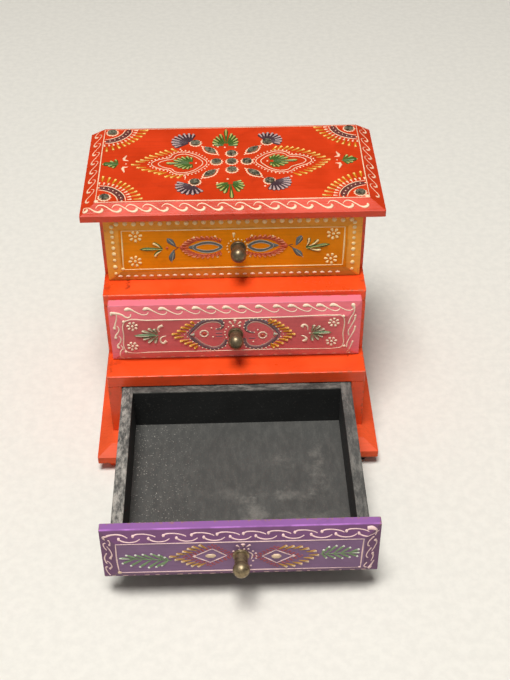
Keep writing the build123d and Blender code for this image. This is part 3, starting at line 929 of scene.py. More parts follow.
def leaf_mirror_rims(cone, half, bead):
    """Beaded rims of the leaf-shaped mirrors, with a dot at each point."""
    # Outline of a pointed leaf, the long way along x
    leaf = closed_below([(-6.9, 0.0), (-5.2, 1.5), (-2.8, 2.8), (0.0, 3.3),
                         (2.8, 2.8), (5.2, 1.5), (6.9, 0.0)])
    for quarter in range(4):
        slant = math.tau * quarter / 4 + math.tau / 8
        along = Vector((math.cos(slant), math.sin(slant)))
        across = Vector((-along.y, along.x))
        centre = Vector(MIRROR_MIDDLE) + MIRROR_LEAF * along
        rim = [tuple(centre + run * along + off * across) for run, off in leaf]
        cone.stroke("ivory", [(x, y, half) for x, y in rim], True)
        beads = [tuple(centre + Vector((x - centre.x, y - centre.y)) * 1.12) for x, y in rim]
        cone.row("ivory", beads, 2.2, bead, True)
        cone.scatter("ivory", [centre + run * along for run in (-8.4, 8.4)], 0.55)


class DRAWER_BOX_OT_lid_mirror_rims(bpy.types.Operator):
    """Lay the beaded cream rims round the lid's mirrors"""
    bl_idname = "drawer_box.lid_mirror_rims"
    bl_label = "Lid mirror rims"

    def execute(self, context):
        cone = Cone(LidFace(), context)
        half = cone.sizes.rim / MM / 2 * 0.85
        bead = 0.5
        round_mirror_rims(cone, half, bead)
        leaf_mirror_rims(cone, half, bead)
        cone.lay("lid_mirror_rims")
        return {"FINISHED"}


class LidCorner:
    """A corner of the lid: millimetres out from it and degrees round from its front or rear edge."""

    def __init__(self, side, end, turn):
        self.side = side
        self.end = end
        self.turn = turn

    def spot(self, radius, degrees):
        """A point of the lid."""
        angle = math.radians(degrees)
        return (self.side * (LID_HALF - radius * math.cos(angle)),
                self.end + self.turn * radius * math.sin(angle))

    def arc(self, radius):
        """A quarter circle that stops short of the crease lines."""
        margin = 1.2
        edge = math.degrees(margin / radius)
        return [self.spot(radius, edge + (90 - 2 * edge) * at / 6) for at in range(7)]


def corner_fan(cone, corner):
    """A quarter-round fan: a beaded band between two arcs, short dashes and flames."""
    band = corner.arc(17.3)
    cone.line("ivory", corner.arc(14.6), 0.4)
    cone.line("ivory", corner.arc(20), 0.4)
    cone.line("band", band, 2.3)
    cone.row("ivory", band, 3.1, 0.7)
    for angle in range(7, 90, 8):
        cone.drop("ivory", corner.spot(24, angle), corner.spot(21, angle), 0.85)
    heads = [corner.spot(31.8 - 2.8 * math.sin(math.radians(2 * angle)), angle)
             for angle in (6, 15, 24, 33, 41, 49, 57, 66, 75, 84)]
    cone.flames(heads, corner.spot(2, 45), 6.4)


class DRAWER_BOX_OT_lid_corner_fans(bpy.types.Operator):
    """Lay the quarter-round fans in the corners of the lid"""
    bl_idname = "drawer_box.lid_corner_fans"
    bl_label = "Lid corner fans"

    def execute(self, context):
        cone = Cone(LidFace(), context)
        for side in SIDES:
            for end, turn in ((0.0, -1), (-LID_DEPTH, 1)):
                corner_fan(cone, LidCorner(side, end, turn))
        cone.lay("lid_corner_fans")
        return {"FINISHED"}


def heart_outlines(cone):
    """Outlines of the two hearts, with their dots and flames."""
    left_outer = [(-17, -48), (-20.5, -41.5), (-26, -36.2), (-33.5, -33.2), (-40, -35.5), (-43, -40.5),
                  (-47.5, -41.8), (-52.5, -44.2), (-55, -48), (-52.5, -52), (-47.5, -54.8),
                  (-42.5, -56.5), (-39.5, -60.3), (-33.5, -62), (-26, -59.5), (-20.5, -54.5)]
    left_inner = [(-19.8, -48), (-22.5, -42.5), (-27, -38.5), (-33, -36), (-38.2, -38), (-40.5, -42.2),
                  (-45, -43.6), (-49, -45.8), (-50.3, -48.2), (-48.5, -51.2), (-45, -53.4), (-41, -55),
                  (-38.5, -58.5), (-33, -60), (-27, -57.8), (-22.5, -53.5)]
    right_outer = [(16.5, -47), (20, -41), (25.5, -36.5), (33, -34.2), (38, -35.6), (41, -39.3),
                   (46, -39.8), (52, -42.6), (55, -47), (52.3, -51), (47, -54), (43, -56.5),
                   (40, -60), (33.5, -61.2), (26, -58.6), (20, -53)]
    right_inner = [(20, -47), (22.5, -42.4), (27, -38.6), (33, -36.6), (36.8, -38), (39.5, -41.2),
                   (45, -42), (49.3, -44), (51, -47), (49, -50.2), (44.5, -52.6), (41, -54.4),
                   (38.2, -58), (33, -59.2), (27.2, -56.8), (22.5, -52)]
    for outline in (left_outer, left_inner, right_outer, right_inner):
        cone.line("ivory", outline, 0.38, True)
    for outline, centre in ((left_outer, (-36, -47.8)), (right_outer, (36, -47.5))):
        cone.row("ivory", swollen(outline, centre, 1.13, 1.15), 2.8, 0.68, True)
    cone.flames([(-69, -49), (-66, -45), (-63, -43), (-60, -40), (-57, -37.5), (-53, -35), (-50, -33),
                 (-46.5, -31), (-42, -29), (-65, -53), (-61.5, -56), (-57, -58), (-53, -60.5), (-50, -62),
                 (-45.5, -65.5), (-41.5, -66.5), (-37, -67)], (-20, -47))
    cone.flames([(68, -47), (65, -43), (61.5, -40), (58.5, -37.5), (55, -35.2), (51, -32.8), (47.3, -31),
                 (43.3, -29.6), (39.8, -28.6), (35.5, -28.2), (31.5, -28.5), (66, -50.5), (63.5, -53.5),
                 (61, -56.5), (57.3, -59), (54.7, -61.7), (51, -64.5), (46.8, -66.5)], (20, -47))


def heart_leaves(cone):
    """Leaves inside the hearts, fanned about a long middle lobe, and loose dots."""
    for root, middle, tips in (
            ((-27, -48), (-45, -48),
             [(-40, -44.3), (-37.5, -42), (-34.5, -40.2), (-31, -39.4), (-28, -41),
              (-39.5, -51.5), (-37, -53.8), (-33.8, -55.5), (-30.6, -56), (-28, -54)]),
            ((26.5, -47), (45, -47),
             [(39, -43.2), (36.3, -41), (33, -39.6), (29.8, -39.5), (27, -41.5),
              (38.8, -50.6), (36, -53.3), (32.5, -55), (29.3, -55.2), (27, -53)])):
        cone.palm("leaf", root, tips, 1.5)
        cone.lobe("leaf", root, middle, 1.7, 0.1)
    cone.scatter("ivory", [(-24.5, -48), (24.5, -47)], 0.75)
    cone.dot("ivory", -31.5, -66, 0.7)
    cone.line("ivory", [(-31.5, -63.5), (-31.7, -68.8)], 0.5)
    cone.scatter("ivory", [(40, -67), (-35.5, -29.5)], 0.8)


class DRAWER_BOX_OT_lid_hearts(bpy.types.Operator):
    """Lay the two outlined hearts with their dots, flames and leaves"""
    bl_idname = "drawer_box.lid_hearts"
    bl_label = "Lid hearts"

    def execute(self, context):
        cone = Cone(LidFace(), context)
        heart_outlines(cone)
        heart_leaves(cone)
        cone.lay("lid_hearts")
        return {"FINISHED"}


def lid_palmettes(cone):
    """Green palmettes at the rear and front of the lid, and loose dots."""
    for root, middle, tips in (
            ((-3.7, -26), (-3.5, -4),
             [(-7.8, -10.5), (-10.5, -14), (-12.5, -17.5), (-13.3, -21.3), (-12.3, -24.8),
              (0.6, -9.8), (2.8, -13), (4.4, -16.8), (5, -21), (4.6, -25)]),
            ((-1.2, -73), (-0.5, -92.5),
             [(-5.5, -86.5), (-8.2, -83.5), (-10.5, -80.2), (-11, -76.5), (-8.5, -75),
              (4.7, -84.8), (7.2, -81.8), (8.3, -78.4), (7.6, -75), (6.2, -72)])):
        cone.palm("leaf", root, tips, 1.6)
        cone.lobe("leaf", root, middle, 1.6, 0.12)
    cone.scatter("ivory", [(-12.5, -25), (-4.5, -28), (2.8, -28.3), (-9.5, -27.2), (-3, -69),
                           (-10, -73.5), (21.8, -78.3)])


def dark_fans(cone):
    """Dark fans beside the outer mirrors of the lid."""
    ribs = 9
    # Centre, first and last direction in degrees, and reach
    for centre, first, last, reach in (
            ((-29, -21.5), 78, 208, 12.2), ((24.5, -21), 116, -22, 10.8),
            ((-26.5, -75.5), 163, 307, 11.2), ((27.5, -72), 14, -104, 11.6)):
        for at in range(ribs):
            part = at / (ribs - 1)
            angle = math.radians(first + (last - first) * part)
            stretch = reach * (1.0 + 0.14 * math.sin(math.pi * part))
            tip = (centre[0] + stretch * math.cos(angle), centre[1] + stretch * math.sin(angle))
            cone.lobe("indigo", centre, tip, 1.75, 0.1)


def lid_buds(cone):
    """Buds at the two ends of the lid, with their comma dashes."""
    for side, root, tip, wings in (
            (-1, (-77.5, -47.3), (-88, -47.2),
             [(-80, -42.2), (-83.5, -44), (-81.5, -52.5), (-84.5, -50.5)]),
            (1, (75.5, -48), (86, -46.6),
             [(80, -41.5), (83.5, -43.5), (80.5, -52.5), (83.3, -50.8)])):
        cone.palm("leaf", root, wings, 1.5)
        cone.drop("leaf", tip, root, 2.6)
        cone.dot("leaf_tip", *tip, 0.8)
        for head, tail, half in (
                ((74.5, -41.6), (72.6, -36.5), 1.25), ((74.8, -42), (71, -43.4), 1.0),
                ((74.6, -52.4), (73, -58.2), 1.3), ((74.9, -52), (71, -51.2), 1.0)):
            cone.drop("ivory", (side * head[0], head[1]), (side * tail[0], tail[1]), half)
        cone.dot("ivory", side * 72.4, -47.4, 0.6)


class DRAWER_BOX_OT_lid_leaves(bpy.types.Operator):
    """Lay the green palmettes, dark fans and buds round the middle of the lid"""
    bl_idname = "drawer_box.lid_leaves"
    bl_label = "Lid leaves"

    def execute(self, context):
        cone = Cone(LidFace(), context)
        lid_palmettes(cone)
        dark_fans(cone)
        lid_buds(cone)
        cone.lay("lid_leaves")
        return {"FINISHED"}


def ochre_frame(cone):
    """Frame lines of the ochre front."""
    cone.line("butter", [(-75, 10.6), (-74.4, 26), (-74, 42)], 0.6)
    cone.line("butter", [(-74, 42), (-30, 41.8), (20, 42), (74, 41.8)], 0.45)
    cone.line("butter", [(74, 41.8), (74, 26), (73.6, 10.6)], 0.65)
    cone.line("butter", [(73.6, 10.6), (20, 10.6), (-30, 10.4), (-75, 10.2)], 0.55)
    cone.dot("butter", -75.2, 10.8, 1.3)


def ochre_beads(cone):
    """Beads up both ends and along the head, dashes along the foot, and flowers."""
    for side in SIDES:
        for z in (6.6, 12.2, 17.8, 23, 27.8, 32.3, 36.8, 41, 45):
            cone.dot("butter", side * 80.4, z, 1.45 + 0.2 * math.sin(z * 1.7))
    for at in range(28):
        cone.dot("butter", -77 + 5.75 * at, 47.2 + 0.25 * math.sin(at * 2.1), 1.75)
    for at in range(29):
        x = -79 + 5.3 * at
        cone.line("cream", [(x, 3.8), (x + 1.4, 4), (x + 2.8, 3.8)], 1.1)
    for x, z, turn in ((-65, 37.3, 0.2), (-66.5, 17, 0.5), (66.5, 36.4, 0.1), (65.5, 16, 0.4)):
        cone.flower("butter", x, z, 3.7, turn)


def ochre_eyes(cone):
    """Eyes beside the knob: a slate rim between two pale lines."""
    level = 27.6
    eye = closed_below([(-1.0, 0.0), (-0.72, 0.6), (-0.3, 0.95), (0.15, 1.0), (0.6, 0.72), (1.0, 0.0)])
    for side, middle, long in ((-1, (-17.5, 27.6), 10.2), (1, (18, 27.8), 9)):
        for paint, inset, high, half, lift in (
                ("slate", 1.2, 3.7, 1.05, 0.0), ("slate_tip", 0.3, 4.6, 0.2, 0.3),
                ("slate_tip", 2.6, 2.5, 0.2, 0.3)):
            wide = side * (long - inset)
            path = [(middle[0] + along * wide, middle[1] + off * high) for along, off in eye]
            cone.line(paint, path, half, True, lift)
        cone.drop("slate", (middle[0] + side * (long - 2.2), middle[1]),
                  (middle[0] + side * (long + 3), middle[1]), 2.3)
        # Red petals follow each eye from its inner end to the outer point
        for turn in range(134, 16, -13):
            out, back = math.radians(turn), math.radians(min(turn + 16, 146))
            for up in SIDES:
                head = (side * (19.5 + 15.8 * math.cos(out)), level + up * 9.2 * math.sin(out))
                tail = (side * (18.5 + 11.4 * math.cos(back)), level + up * 6.0 * math.sin(back))
                cone.drop("coral", head, tail, 1.25, 0.12 * side * up)
                # A pale drop on each petal is a painted highlight
                cone.drop("coral_tip", head, part_way(head, tail, 0.55), 0.5, 0.0, 0.85)
        cone.drop("coral", (side * 36.2, level), (side * 30, level), 1.8)
        for x, z in ((34.6, 28.2), (30, 33.6), (26.3, 35.6), (12.2, 36.2), (30.2, 21.8), (26.6, 20),
                     (11, 19.4)):
            cone.dot("butter", side * x, z, 0.85)
        cone.line("band", [(side * 36.5, level), (side * 39.5, 28.6)], 0.6)
        cone.line("band", [(side * 37.5, 27.4), (side * 39.8, 25.4)], 0.6)


def ochre_sprigs(cone):
    """Leaves and three-pronged sprigs."""
    for head, tail in (((-44.2, 35.4), (-38.6, 28.4)), ((-42.6, 16.4), (-40, 26)),
                       ((45.2, 35.6), (41.8, 27.6)), ((46.2, 18.4), (39.2, 25.8))):
        cone.lens("slate", head, tail, 2.2, 0.0, 0.35)
        x, z = part_way(head, tail, 0.7)
        cone.line("slate_tip", [(head[0] + 0.6, head[1] - 0.6), (x + 0.4, z)], 0.34, False, 0.5)
    cone.dot("coral", -44.6, 27.5, 1.1)
    cone.dot("butter", -44.3, 27.6, 0.6)
    for root, tip, prongs in (((-47.5, 26.8), (-63, 26.8), [(-54, 31.6), (-53, 20.6)]),
                              ((48.5, 25.4), (64.6, 28), [(56.6, 32.2), (58.6, 23.8), (50.2, 33.6)])):
        cone.lens("leaf", tip, root, 1.6, 0.0, 0.32)
        cone.line("leaf_tip", [(tip[0] * 0.97, tip[1] + 0.2), root], 0.55, False, 1.4)
        for prong in prongs:
            cone.drop("leaf", prong, root, 1.3, 0.1)
            cone.drop("butter", prong, part_way(prong, root, 0.75), 0.85, 0.1, 0.9)


def ochre_knob_beads(cone):
    """Beads round the knob."""
    cone.row("butter", circle((2.4, 26.7), 6.9, 18), 2.5, 0.62, True)
    cone.drop("butter", (0.2, 39), (0.1, 35), 1.1)


class DRAWER_BOX_OT_top_front_ornament(bpy.types.Operator):
    """Lay the ornament of the ochre drawer front"""
    bl_idname = "drawer_box.top_front_ornament"
    bl_label = "Ochre front ornament"

    def execute(self, context):
        cone = Cone(FrontFace("top"), context)
        ochre_frame(cone)
        ochre_beads(cone)
        ochre_eyes(cone)
        ochre_sprigs(cone)
        ochre_knob_beads(cone)
        cone.lay("top_front")
        return {"FINISHED"}


def pink_scrolls(cone):
    """Running scroll along the head of the pink front."""
    # Offset along the run, height and half width
    scroll = ((0.0, 44.8, 0.6), (1.3, 45.4, 1.25), (3.2, 45.5, 1.0), (6.4, 44, 0.4), (10.3, 41.9, 0.32),
              (13.4, 41.2, 0.34), (15.4, 42, 0.34), (16, 43.2, 0.26))
    for head in (-74.5, -62, -51.6, -39.6, -29, -19, -8.5, 2, 13.6, 25.6, 35.6, 45.8, 54.8, 64):
        cone.stroke("cream", [(head + x, z, half) for x, z, half in scroll])


def pink_end_scrolls(cone):
    """Corner scroll, upright scrolls of the two ends, and dashes along the foot."""
    cone.stroke("cream", [(-84, 40.4, 0.8), (-83.4, 42.2, 1.3), (-80.5, 42.6, 0.9), (-76.5, 41.6, 0.6),
                          (-73.4, 39.6, 0.55), (-71, 40, 0.55), (-70.4, 42, 0.35)])
    cone.scrolls("cream", (
        [(-82.4, 29.4, 0.9), (-81.4, 34, 0.5), (-80.3, 38.3, 0.42), (-80.1, 42, 0.4)],
        [(-82.2, 20.9, 0.9), (-81.9, 23.2, 0.6), (-80.2, 26, 0.45), (-79.4, 30, 0.42),
         (-80.5, 31.7, 0.3)],
        [(-81, 12.4, 0.9), (-81.3, 14.1, 0.7), (-79.6, 17, 0.45), (-78.6, 20.4, 0.45),
         (-79.8, 23.2, 0.3)],
        [(-78.1, 1.6, 0.5), (-79.6, 2.6, 0.45), (-80.3, 5.9, 0.45), (-79.5, 9.6, 0.45),
         (-77.8, 12.4, 0.5), (-79.2, 14.7, 0.35)]), 1.25)
    cone.scrolls("cream", (
        [(79.8, 45, 1.3), (80.8, 42, 0.5), (80.2, 38.4, 0.42), (78.2, 34.6, 0.5), (77.1, 30.5, 0.6)],
        [(81.7, 36, 0.8), (81.4, 33.2, 0.6), (79.1, 27.8, 0.42), (77.3, 23.5, 0.42), (77.9, 19.8, 0.55)],
        [(82, 26.2, 0.7), (81.5, 23.2, 0.6), (79.3, 18.5, 0.42), (77, 13.2, 0.42), (76.7, 9.4, 0.55)],
        [(80.9, 13.2, 0.7), (79.4, 8.7, 0.5), (77.2, 3.4, 0.45)]), 1.2)
    cone.dot("cream", 79.2, 2.2, 0.9)
    for at in range(16):
        x = -76 + 10.2 * at
        cone.line("cream", [(x, 2), (x + 1.5, 2.2), (x + 3, 2)], 0.5)


def pink_frame(cone):
    """Frame line with its corner dots and flowers."""
    cone.line("cream", [(-76.2, 11), (-76.4, 24), (-75.8, 35), (-73.8, 37.2), (-60, 37.3), (-20, 37.2),
                        (30, 37.5), (68, 38), (72.6, 37.4), (74, 34.6), (73.6, 22), (73.8, 11),
                        (72, 9.2), (30, 9), (-20, 8.6), (-60, 8.7), (-73.5, 8.8)], 0.4, True)
    cone.scatter("cream", [(-75.6, 36.6), (-76, 9.6), (73.4, 37.2), (75, 10.6)], 1.15)
    for x, z, turn in ((-70, 32.3, 0.3), (-71, 14.5, 0.1), (67, 32, 0.6), (66, 15, 0.2)):
        cone.flower("cream", x, z, 3.2, turn)


def pink_leaves(cone):
    """Leaves at the two ends and the curls beside them."""
    for root, tip, tips in (
            ((-52.5, 23.8), (-69.5, 24),
             [(-64, 28), (-59.5, 30.2), (-55.6, 29.8), (-63.5, 20.4), (-60, 17.4), (-55.3, 17)]),
            ((51.5, 22.8), (65.5, 23.3),
             [(54, 30.2), (58, 29.2), (61, 26.6), (60, 19.4), (57, 17), (53, 16.2)])):
        cone.palm("sage", root, tips, 1.4)
        cone.lens("fern", tip, root, 1.7, 0.3, 0.36)
        cone.line("sage_tip", [(tip[0] * 0.98, tip[1]), part_way(tip, root, 0.6)], 0.5, False, 1.7)
    for curl in (
            [(-49.3, 32.4, 1.2), (-51.5, 31.5, 1.0), (-52.8, 29, 0.6), (-52, 27, 0.4)],
            [(-47.6, 18.8, 1.2), (-49.8, 16.6, 0.9), (-51.6, 19, 0.6), (-50.6, 22, 0.5),
             (-47.6, 23.2, 0.35)],
            [(45.4, 28.6, 1.3), (46.6, 30.4, 0.9), (48.8, 29.2, 0.6), (49.4, 25.6, 0.4)],
            [(46.2, 15.8, 0.9), (48.4, 17.2, 1.3), (47.2, 20, 0.6), (45, 20.8, 0.4)]):
        cone.stroke("cream", curl)
    cone.scatter("cream", [(-54.4, 23.2), (50.8, 22.8)], 0.7)


def pink_flames(cone):
    """Flames round the hearts of the pink front."""
    # Heads, focus and reach
    for heads, focus, reach in (
            ([(-43.8, 24.6), (-40, 27.4), (-37.4, 30.4), (-34.4, 33), (-42, 21.4), (-38.4, 18),
              (-35.4, 15.6), (-32, 13.4)], (-6, 23.6), 6.4),
            ([(41, 22.2), (38.6, 25.4), (36.6, 28), (33.4, 30.6), (31, 33), (28, 35),
              (38.6, 19.4), (36, 17), (33, 14), (29.6, 11.6)], (6, 23), 6.4),
            ([(-30.4, 35.2), (-28.6, 11.2)], (-15, 23.6), 3.4),
            ([(24.4, 36), (26.4, 10.6)], (14, 23), 3.2)):
        cone.flames(heads, focus, reach, 0.4)


def pink_hearts(cone):
    """Slate hearts with a pale line inside and cream dots outside."""
    left, right = (-15, 24), (14, 23)
    for focus, path in (
            (left, [(-32, 24), (-27.4, 29.8), (-22, 34.6), (-15, 36.2), (-9.8, 34.6), (-8.6, 31.6),
                    (-10.4, 28.6), (-13.4, 28)]),
            (left, [(-32, 24), (-27, 18), (-21, 12.8), (-14, 10.8), (-8.4, 14), (-6.4, 19)]),
            (right, [(30, 22.6), (25.4, 29), (20, 33.4), (13, 35.6), (8, 33), (6.8, 28.4),
                     (9, 25.4), (13, 24.4)]),
            (right, [(30, 22.6), (25, 16.2), (20, 12.4), (13, 10.8), (7.6, 13.4), (6, 20)])):
        cone.line("plum", path, 1.05)
        cone.line("slate_tip", swollen(path, focus, 0.87, 0.87), 0.28)
        cone.line("slate", kept_between(swollen(path, focus, 1.09, 1.09), 9.8, 36.6), 0.4)
        cone.row("cream", kept_between(swollen(path, focus, 1.17, 1.17), 9.6, 37), 2.7, 0.55)
    for side, x, z in ((-1, -28.6, 23.6), (1, 26.4, 22.6)):
        cone.drop("slate_tip", (x - side * 0.6, z), (x + side * 2.4, z), 1.7)
    for centre in ((-21.5, 24.5), (18.5, 22)):
        cone.ring("cream", centre, 2.7, 0.55, 8)
        cone.dot("coral", *centre, 1.15)
    cone.scatter("cream", [(-16.4, 29.4), (-15.5, 21.4), (15.2, 26.8), (12, 16.4)], 0.7)
    for x, z in ((-11, 24.6), (-11, 21.8), (11.5, 19.4)):
        cone.line("plum", [(x - 2.4, z), (x + 2, z)], 0.8)


def pink_knob_petals(cone):
    """Arch of dots beside the knob and a small fan of petals over it."""
    for degrees in range(130, 211, 20):
        angle = math.radians(degrees)
        cone.dot("cream", 7.4 * math.cos(angle), 24.4 + 7.4 * math.sin(angle), 0.62)
    for tip, root, half in (((-0.4, 36.4), (-0.4, 33), 1.2), ((-4.3, 34.8), (-2.2, 32), 0.85),
                            ((3.8, 34.4), (1.4, 32), 0.85)):
        cone.drop("cream", tip, root, half)
    cone.scatter("cream", [(-1.7, 30.7), (2.9, 30.7)], 0.9)


class DRAWER_BOX_OT_middle_front_ornament(bpy.types.Operator):
    """Lay the ornament of the pink drawer front"""
    bl_idname = "drawer_box.middle_front_ornament"
    bl_label = "Pink front ornament"

    def execute(self, context):
        cone = Cone(FrontFace("middle"), context)
        pink_scrolls(cone)
        pink_end_scrolls(cone)
        pink_frame(cone)
        pink_leaves(cone)
        pink_flames(cone)
        pink_hearts(cone)
        pink_knob_petals(cone)
        cone.lay("middle_front")
        return {"FINISHED"}


def purple_arcs(cone):
    """Running arcs over and under the middle line of the purple front's head."""
    # Offset along the run, height and half width
    over = ((0.3, 41.2, 0.5), (1.4, 41.9, 0.42), (4.4, 42.3, 0.34), (9, 42, 0.3), (12.4, 41.2, 0.3),
            (14, 40.5, 0.28))
    under = ((0.2, 39.7, 0.5), (1.2, 38.9, 0.42), (4.2, 37.9, 0.34), (8, 37.7, 0.3), (11, 38.3, 0.3),
             (13, 39.4, 0.28))
    for arc, heads in ((over, (-65.5, -47, -30, -14.5, 1.4, 16.6, 32.6, 49, 64)),
                       (under, (-74, -56, -39, -22.5, -6.5, 9, 25.6, 42.6, 57.6, 71.6))):
        for head in heads:
            cone.comma("blush", [(head + x, z, half) for x, z, half in arc], 0.98)


def purple_end_scrolls(cone):
    """Corner scrolls, broken scrolls down the two ends, and dashes along the foot."""
    cone.stroke("blush", [(-82.6, 37.6, 0.5), (-83.4, 38.8, 0.95), (-81.8, 41, 0.7), (-78, 42.2, 0.45),
                          (-72, 41.9, 0.4), (-68.4, 40.2, 0.32)])
    cone.stroke("blush", [(77, 42.4, 1.1), (80, 42.6, 1.2), (82.4, 41.2, 0.7), (82.9, 38.6, 0.42),
                          (82.2, 36, 0.35)])
    cone.scrolls("blush", (
        [(-79.8, 34.3, 0.6), (-79.3, 36.6, 0.4), (-80.2, 38.7, 0.6)],
        [(-82.3, 28.5, 0.35), (-83.5, 30.5, 0.42), (-83.7, 33.3, 0.42), (-82.3, 35, 0.35)],
        [(-80.3, 21.4, 0.75), (-79, 25.5, 0.45), (-80, 29.4, 0.42), (-81.6, 32, 0.35)],
        [(-83.3, 15.4, 0.6), (-84.1, 17.6, 0.5), (-83.8, 21.5, 0.42), (-82.3, 25.2, 0.35)],
        [(-81.5, 10.7, 0.6), (-80, 13.7, 0.42), (-81, 16.3, 0.42), (-82.9, 17.6, 0.35)],
        [(-82, 4.4, 0.42), (-83.4, 6.3, 0.42), (-83.8, 11.1, 0.5), (-82.6, 11.7, 0.35)],
        [(81, 35, 0.6), (78.3, 32.3, 0.45), (77.9, 28.9, 0.42), (79, 27.5, 0.35)],
        [(82.4, 31.5, 0.8), (83.6, 28.9, 0.45), (82.5, 25, 0.42), (80.8, 21.6, 0.35)],
        [(79.9, 24.7, 0.55), (77.7, 21.1, 0.45), (77.5, 18.5, 0.42), (78.7, 16.3, 0.35)],
        [(81.5, 19.3, 0.8), (82.1, 16, 0.45), (80.9, 12, 0.35)],
        [(77.8, 11.8, 0.5), (76.5, 9.6, 0.45), (78.2, 7.2, 0.35)],
        [(80.3, 6.3, 1.2), (81.4, 8.6, 0.7), (83, 11.5, 0.4)]), 1.25)
    for at in range(24):
        x = -81 + 6.8 * at
        long = 2.4 + 1.3 * math.sin(at * 2.3)
        cone.line("blush", [(x, 2), (x + long / 2, 2.4), (x + long, 2.1)], 0.95)


def purple_frame(cone):
    """Frame lines and their two corner dots."""
    cone.line("blush", [(-75.8, 36.4), (-30, 36.3), (20, 36), (75, 35.8)], 0.5)
    cone.line("blush", [(-75.9, 36.6), (-76.2, 22), (-75.6, 9.2)], 0.55)
    cone.line("blush", [(75, 36), (74.6, 22), (74.2, 8.6)], 0.55)
    cone.line("blush", [(-75.4, 9.4), (-30, 9.2), (20, 8.9), (74.4, 8.4)], 0.55)
    cone.dot("gilt_tip", -75.4, 9.6, 1.4)
    cone.dot("blush", 73.6, 8.8, 1.0)


def purple_ferns(cone):
    """Fern sprays and the gilt flames between them and the diamonds."""
    # Root and end of the stem, leaflet tips over it and then under it
    for root, end, tips in (
            ((-42.7, 20.2), (-74.8, 23.4),
             [(-70.1, 26), (-64.6, 26), (-60, 26.4), (-54.8, 26.8), (-50.2, 25.4), (-46.8, 23.2),
              (-72.8, 18.4), (-67.8, 16), (-62.4, 14.6), (-57, 13.8), (-52.4, 14.2), (-48.8, 15.6)]),
            ((48.4, 22.4), (73, 23.2),
             [(50.7, 26.4), (54, 29.2), (58.5, 30), (62.9, 29.6), (66.9, 28), (72.2, 26.2),
              (52.5, 18.8), (57.8, 18.2), (62.5, 18), (66.9, 18.8), (71.6, 19.6)])):
        cone.line("fern", [root, part_way(root, end, 0.5), end], 0.62)
        cone.lobe("fern", root, end, 1.0, 0.6)
        for tip in tips:
            joint = max(0.06, abs(tip[0] - root[0]) / abs(end[0] - root[0]) - 0.24)
            cone.drop("fern", tip, part_way(root, end, joint), 0.92, 0.0, 0.0, 0.4)
            cone.dot("fern_tip", *tip, 0.85, 0.25)
    cone.flames([(-44.3, 23.6), (-39.8, 26.2), (-36, 28.4), (-33, 31.2), (-30, 33), (-25.6, 34.4),
                 (-41, 20.6), (-37, 18.6), (-34, 16), (-31, 14), (-27, 13.4)], (-12, 23.4), paint="gilt")
    cone.flames([(48.2, 21.8), (46.6, 25.8), (42, 28.4), (38, 30.4), (33, 31), (28.6, 31.7), (45, 18.8),
                 (42, 15.6), (38, 13.4), (33.6, 11.6), (28.6, 10.9)], (12, 21.8), paint="gilt")


def purple_diamonds(cone):
    """Diamonds with an oval inside and red dashes all round."""
    dash_gap, dash_reach, dash_low, dash_high = 2.7, 0.85, 11, 34.6
    for corners, (x, z), (long, high), knot in (
            ([(-29, 23.3), (-17.5, 30.2), (-8.8, 23.4), (-19, 17.3)],
             (-18.6, 23.5), (3.2, 1.9), (-27.6, 23.4)),
            ([(13, 22), (21.5, 27.6), (32, 21.5), (22, 15.2)],
             (21.8, 21.6), (3, 2.2), (31.6, 21.7))):
        loop = corners + corners[:1]
        for one, two in zip(loop, loop[1:]):
            cone.line("blush", [one, part_way(one, two, 0.5), two], 0.48)
        cone.stroke("gilt_tip", [(x - long, z, 0.7), (x - long * 0.5, z, high),
                                 (x + long * 0.5, z, high), (x + long, z, 0.7)])
        side = -1 if knot[0] < 0 else 1
        cone.drop("blush", knot, (knot[0] + side * 2.2, knot[1]), 1.5)
        centre = sum((Vector(corner) for corner in corners), Vector((0, 0))) / len(corners)
        for swell, shift in ((1.22, 0.5), (1.42, 0.2), (1.62, 0.7)):
            outline = [Vector(corner).lerp(centre, 1 - swell) for corner in loop]
            for one, two in zip(outline, outline[1:]):
                lean = (two - one).normalized() * dash_reach
                count = round((two - one).length / dash_gap)
                for at in range(count):
                    spot = one.lerp(two, (at + shift) / count)
                    spot.y = min(max(spot.y, dash_low), dash_high)
                    cone.drop("rose", tuple(spot + lean), tuple(spot - lean), 0.62)


def purple_knob_petals(cone):
    """Petals, dots and a line round the knob."""
    for tip, root, half in (((1.4, 34.5), (1.4, 31.6), 1.5), ((-2.8, 33.2), (-0.8, 31), 0.85),
                            ((5.9, 33.4), (3.4, 31.2), 0.85)):
        cone.drop("blush", tip, root, half)
    cone.scatter("blush", [(-1.0, 28.7), (2.1, 29.2), (4.6, 29.2), (7.4, 27), (9.1, 24.9), (9.6, 22.4),
                           (9.4, 20.2), (7.4, 17.9), (6, 13.2), (-4.6, 27.4)], 0.75)
    cone.line("blush", [(4.2, 26.6), (6.8, 24.2), (6.9, 21.6), (6.2, 19.4)], 0.5)


class DRAWER_BOX_OT_bottom_front_ornament(bpy.types.Operator):
    """Lay the ornament of the purple drawer front"""
    bl_idname = "drawer_box.bottom_front_ornament"
    bl_label = "Purple front ornament"

    def execute(self, context):
        cone = Cone(FrontFace("bottom"), context)
        purple_arcs(cone)
        purple_end_scrolls(cone)
        purple_frame(cone)
        purple_ferns(cone)
        purple_diamonds(cone)
        purple_knob_petals(cone)
        cone.lay("bottom_front")
        return {"FINISHED"}


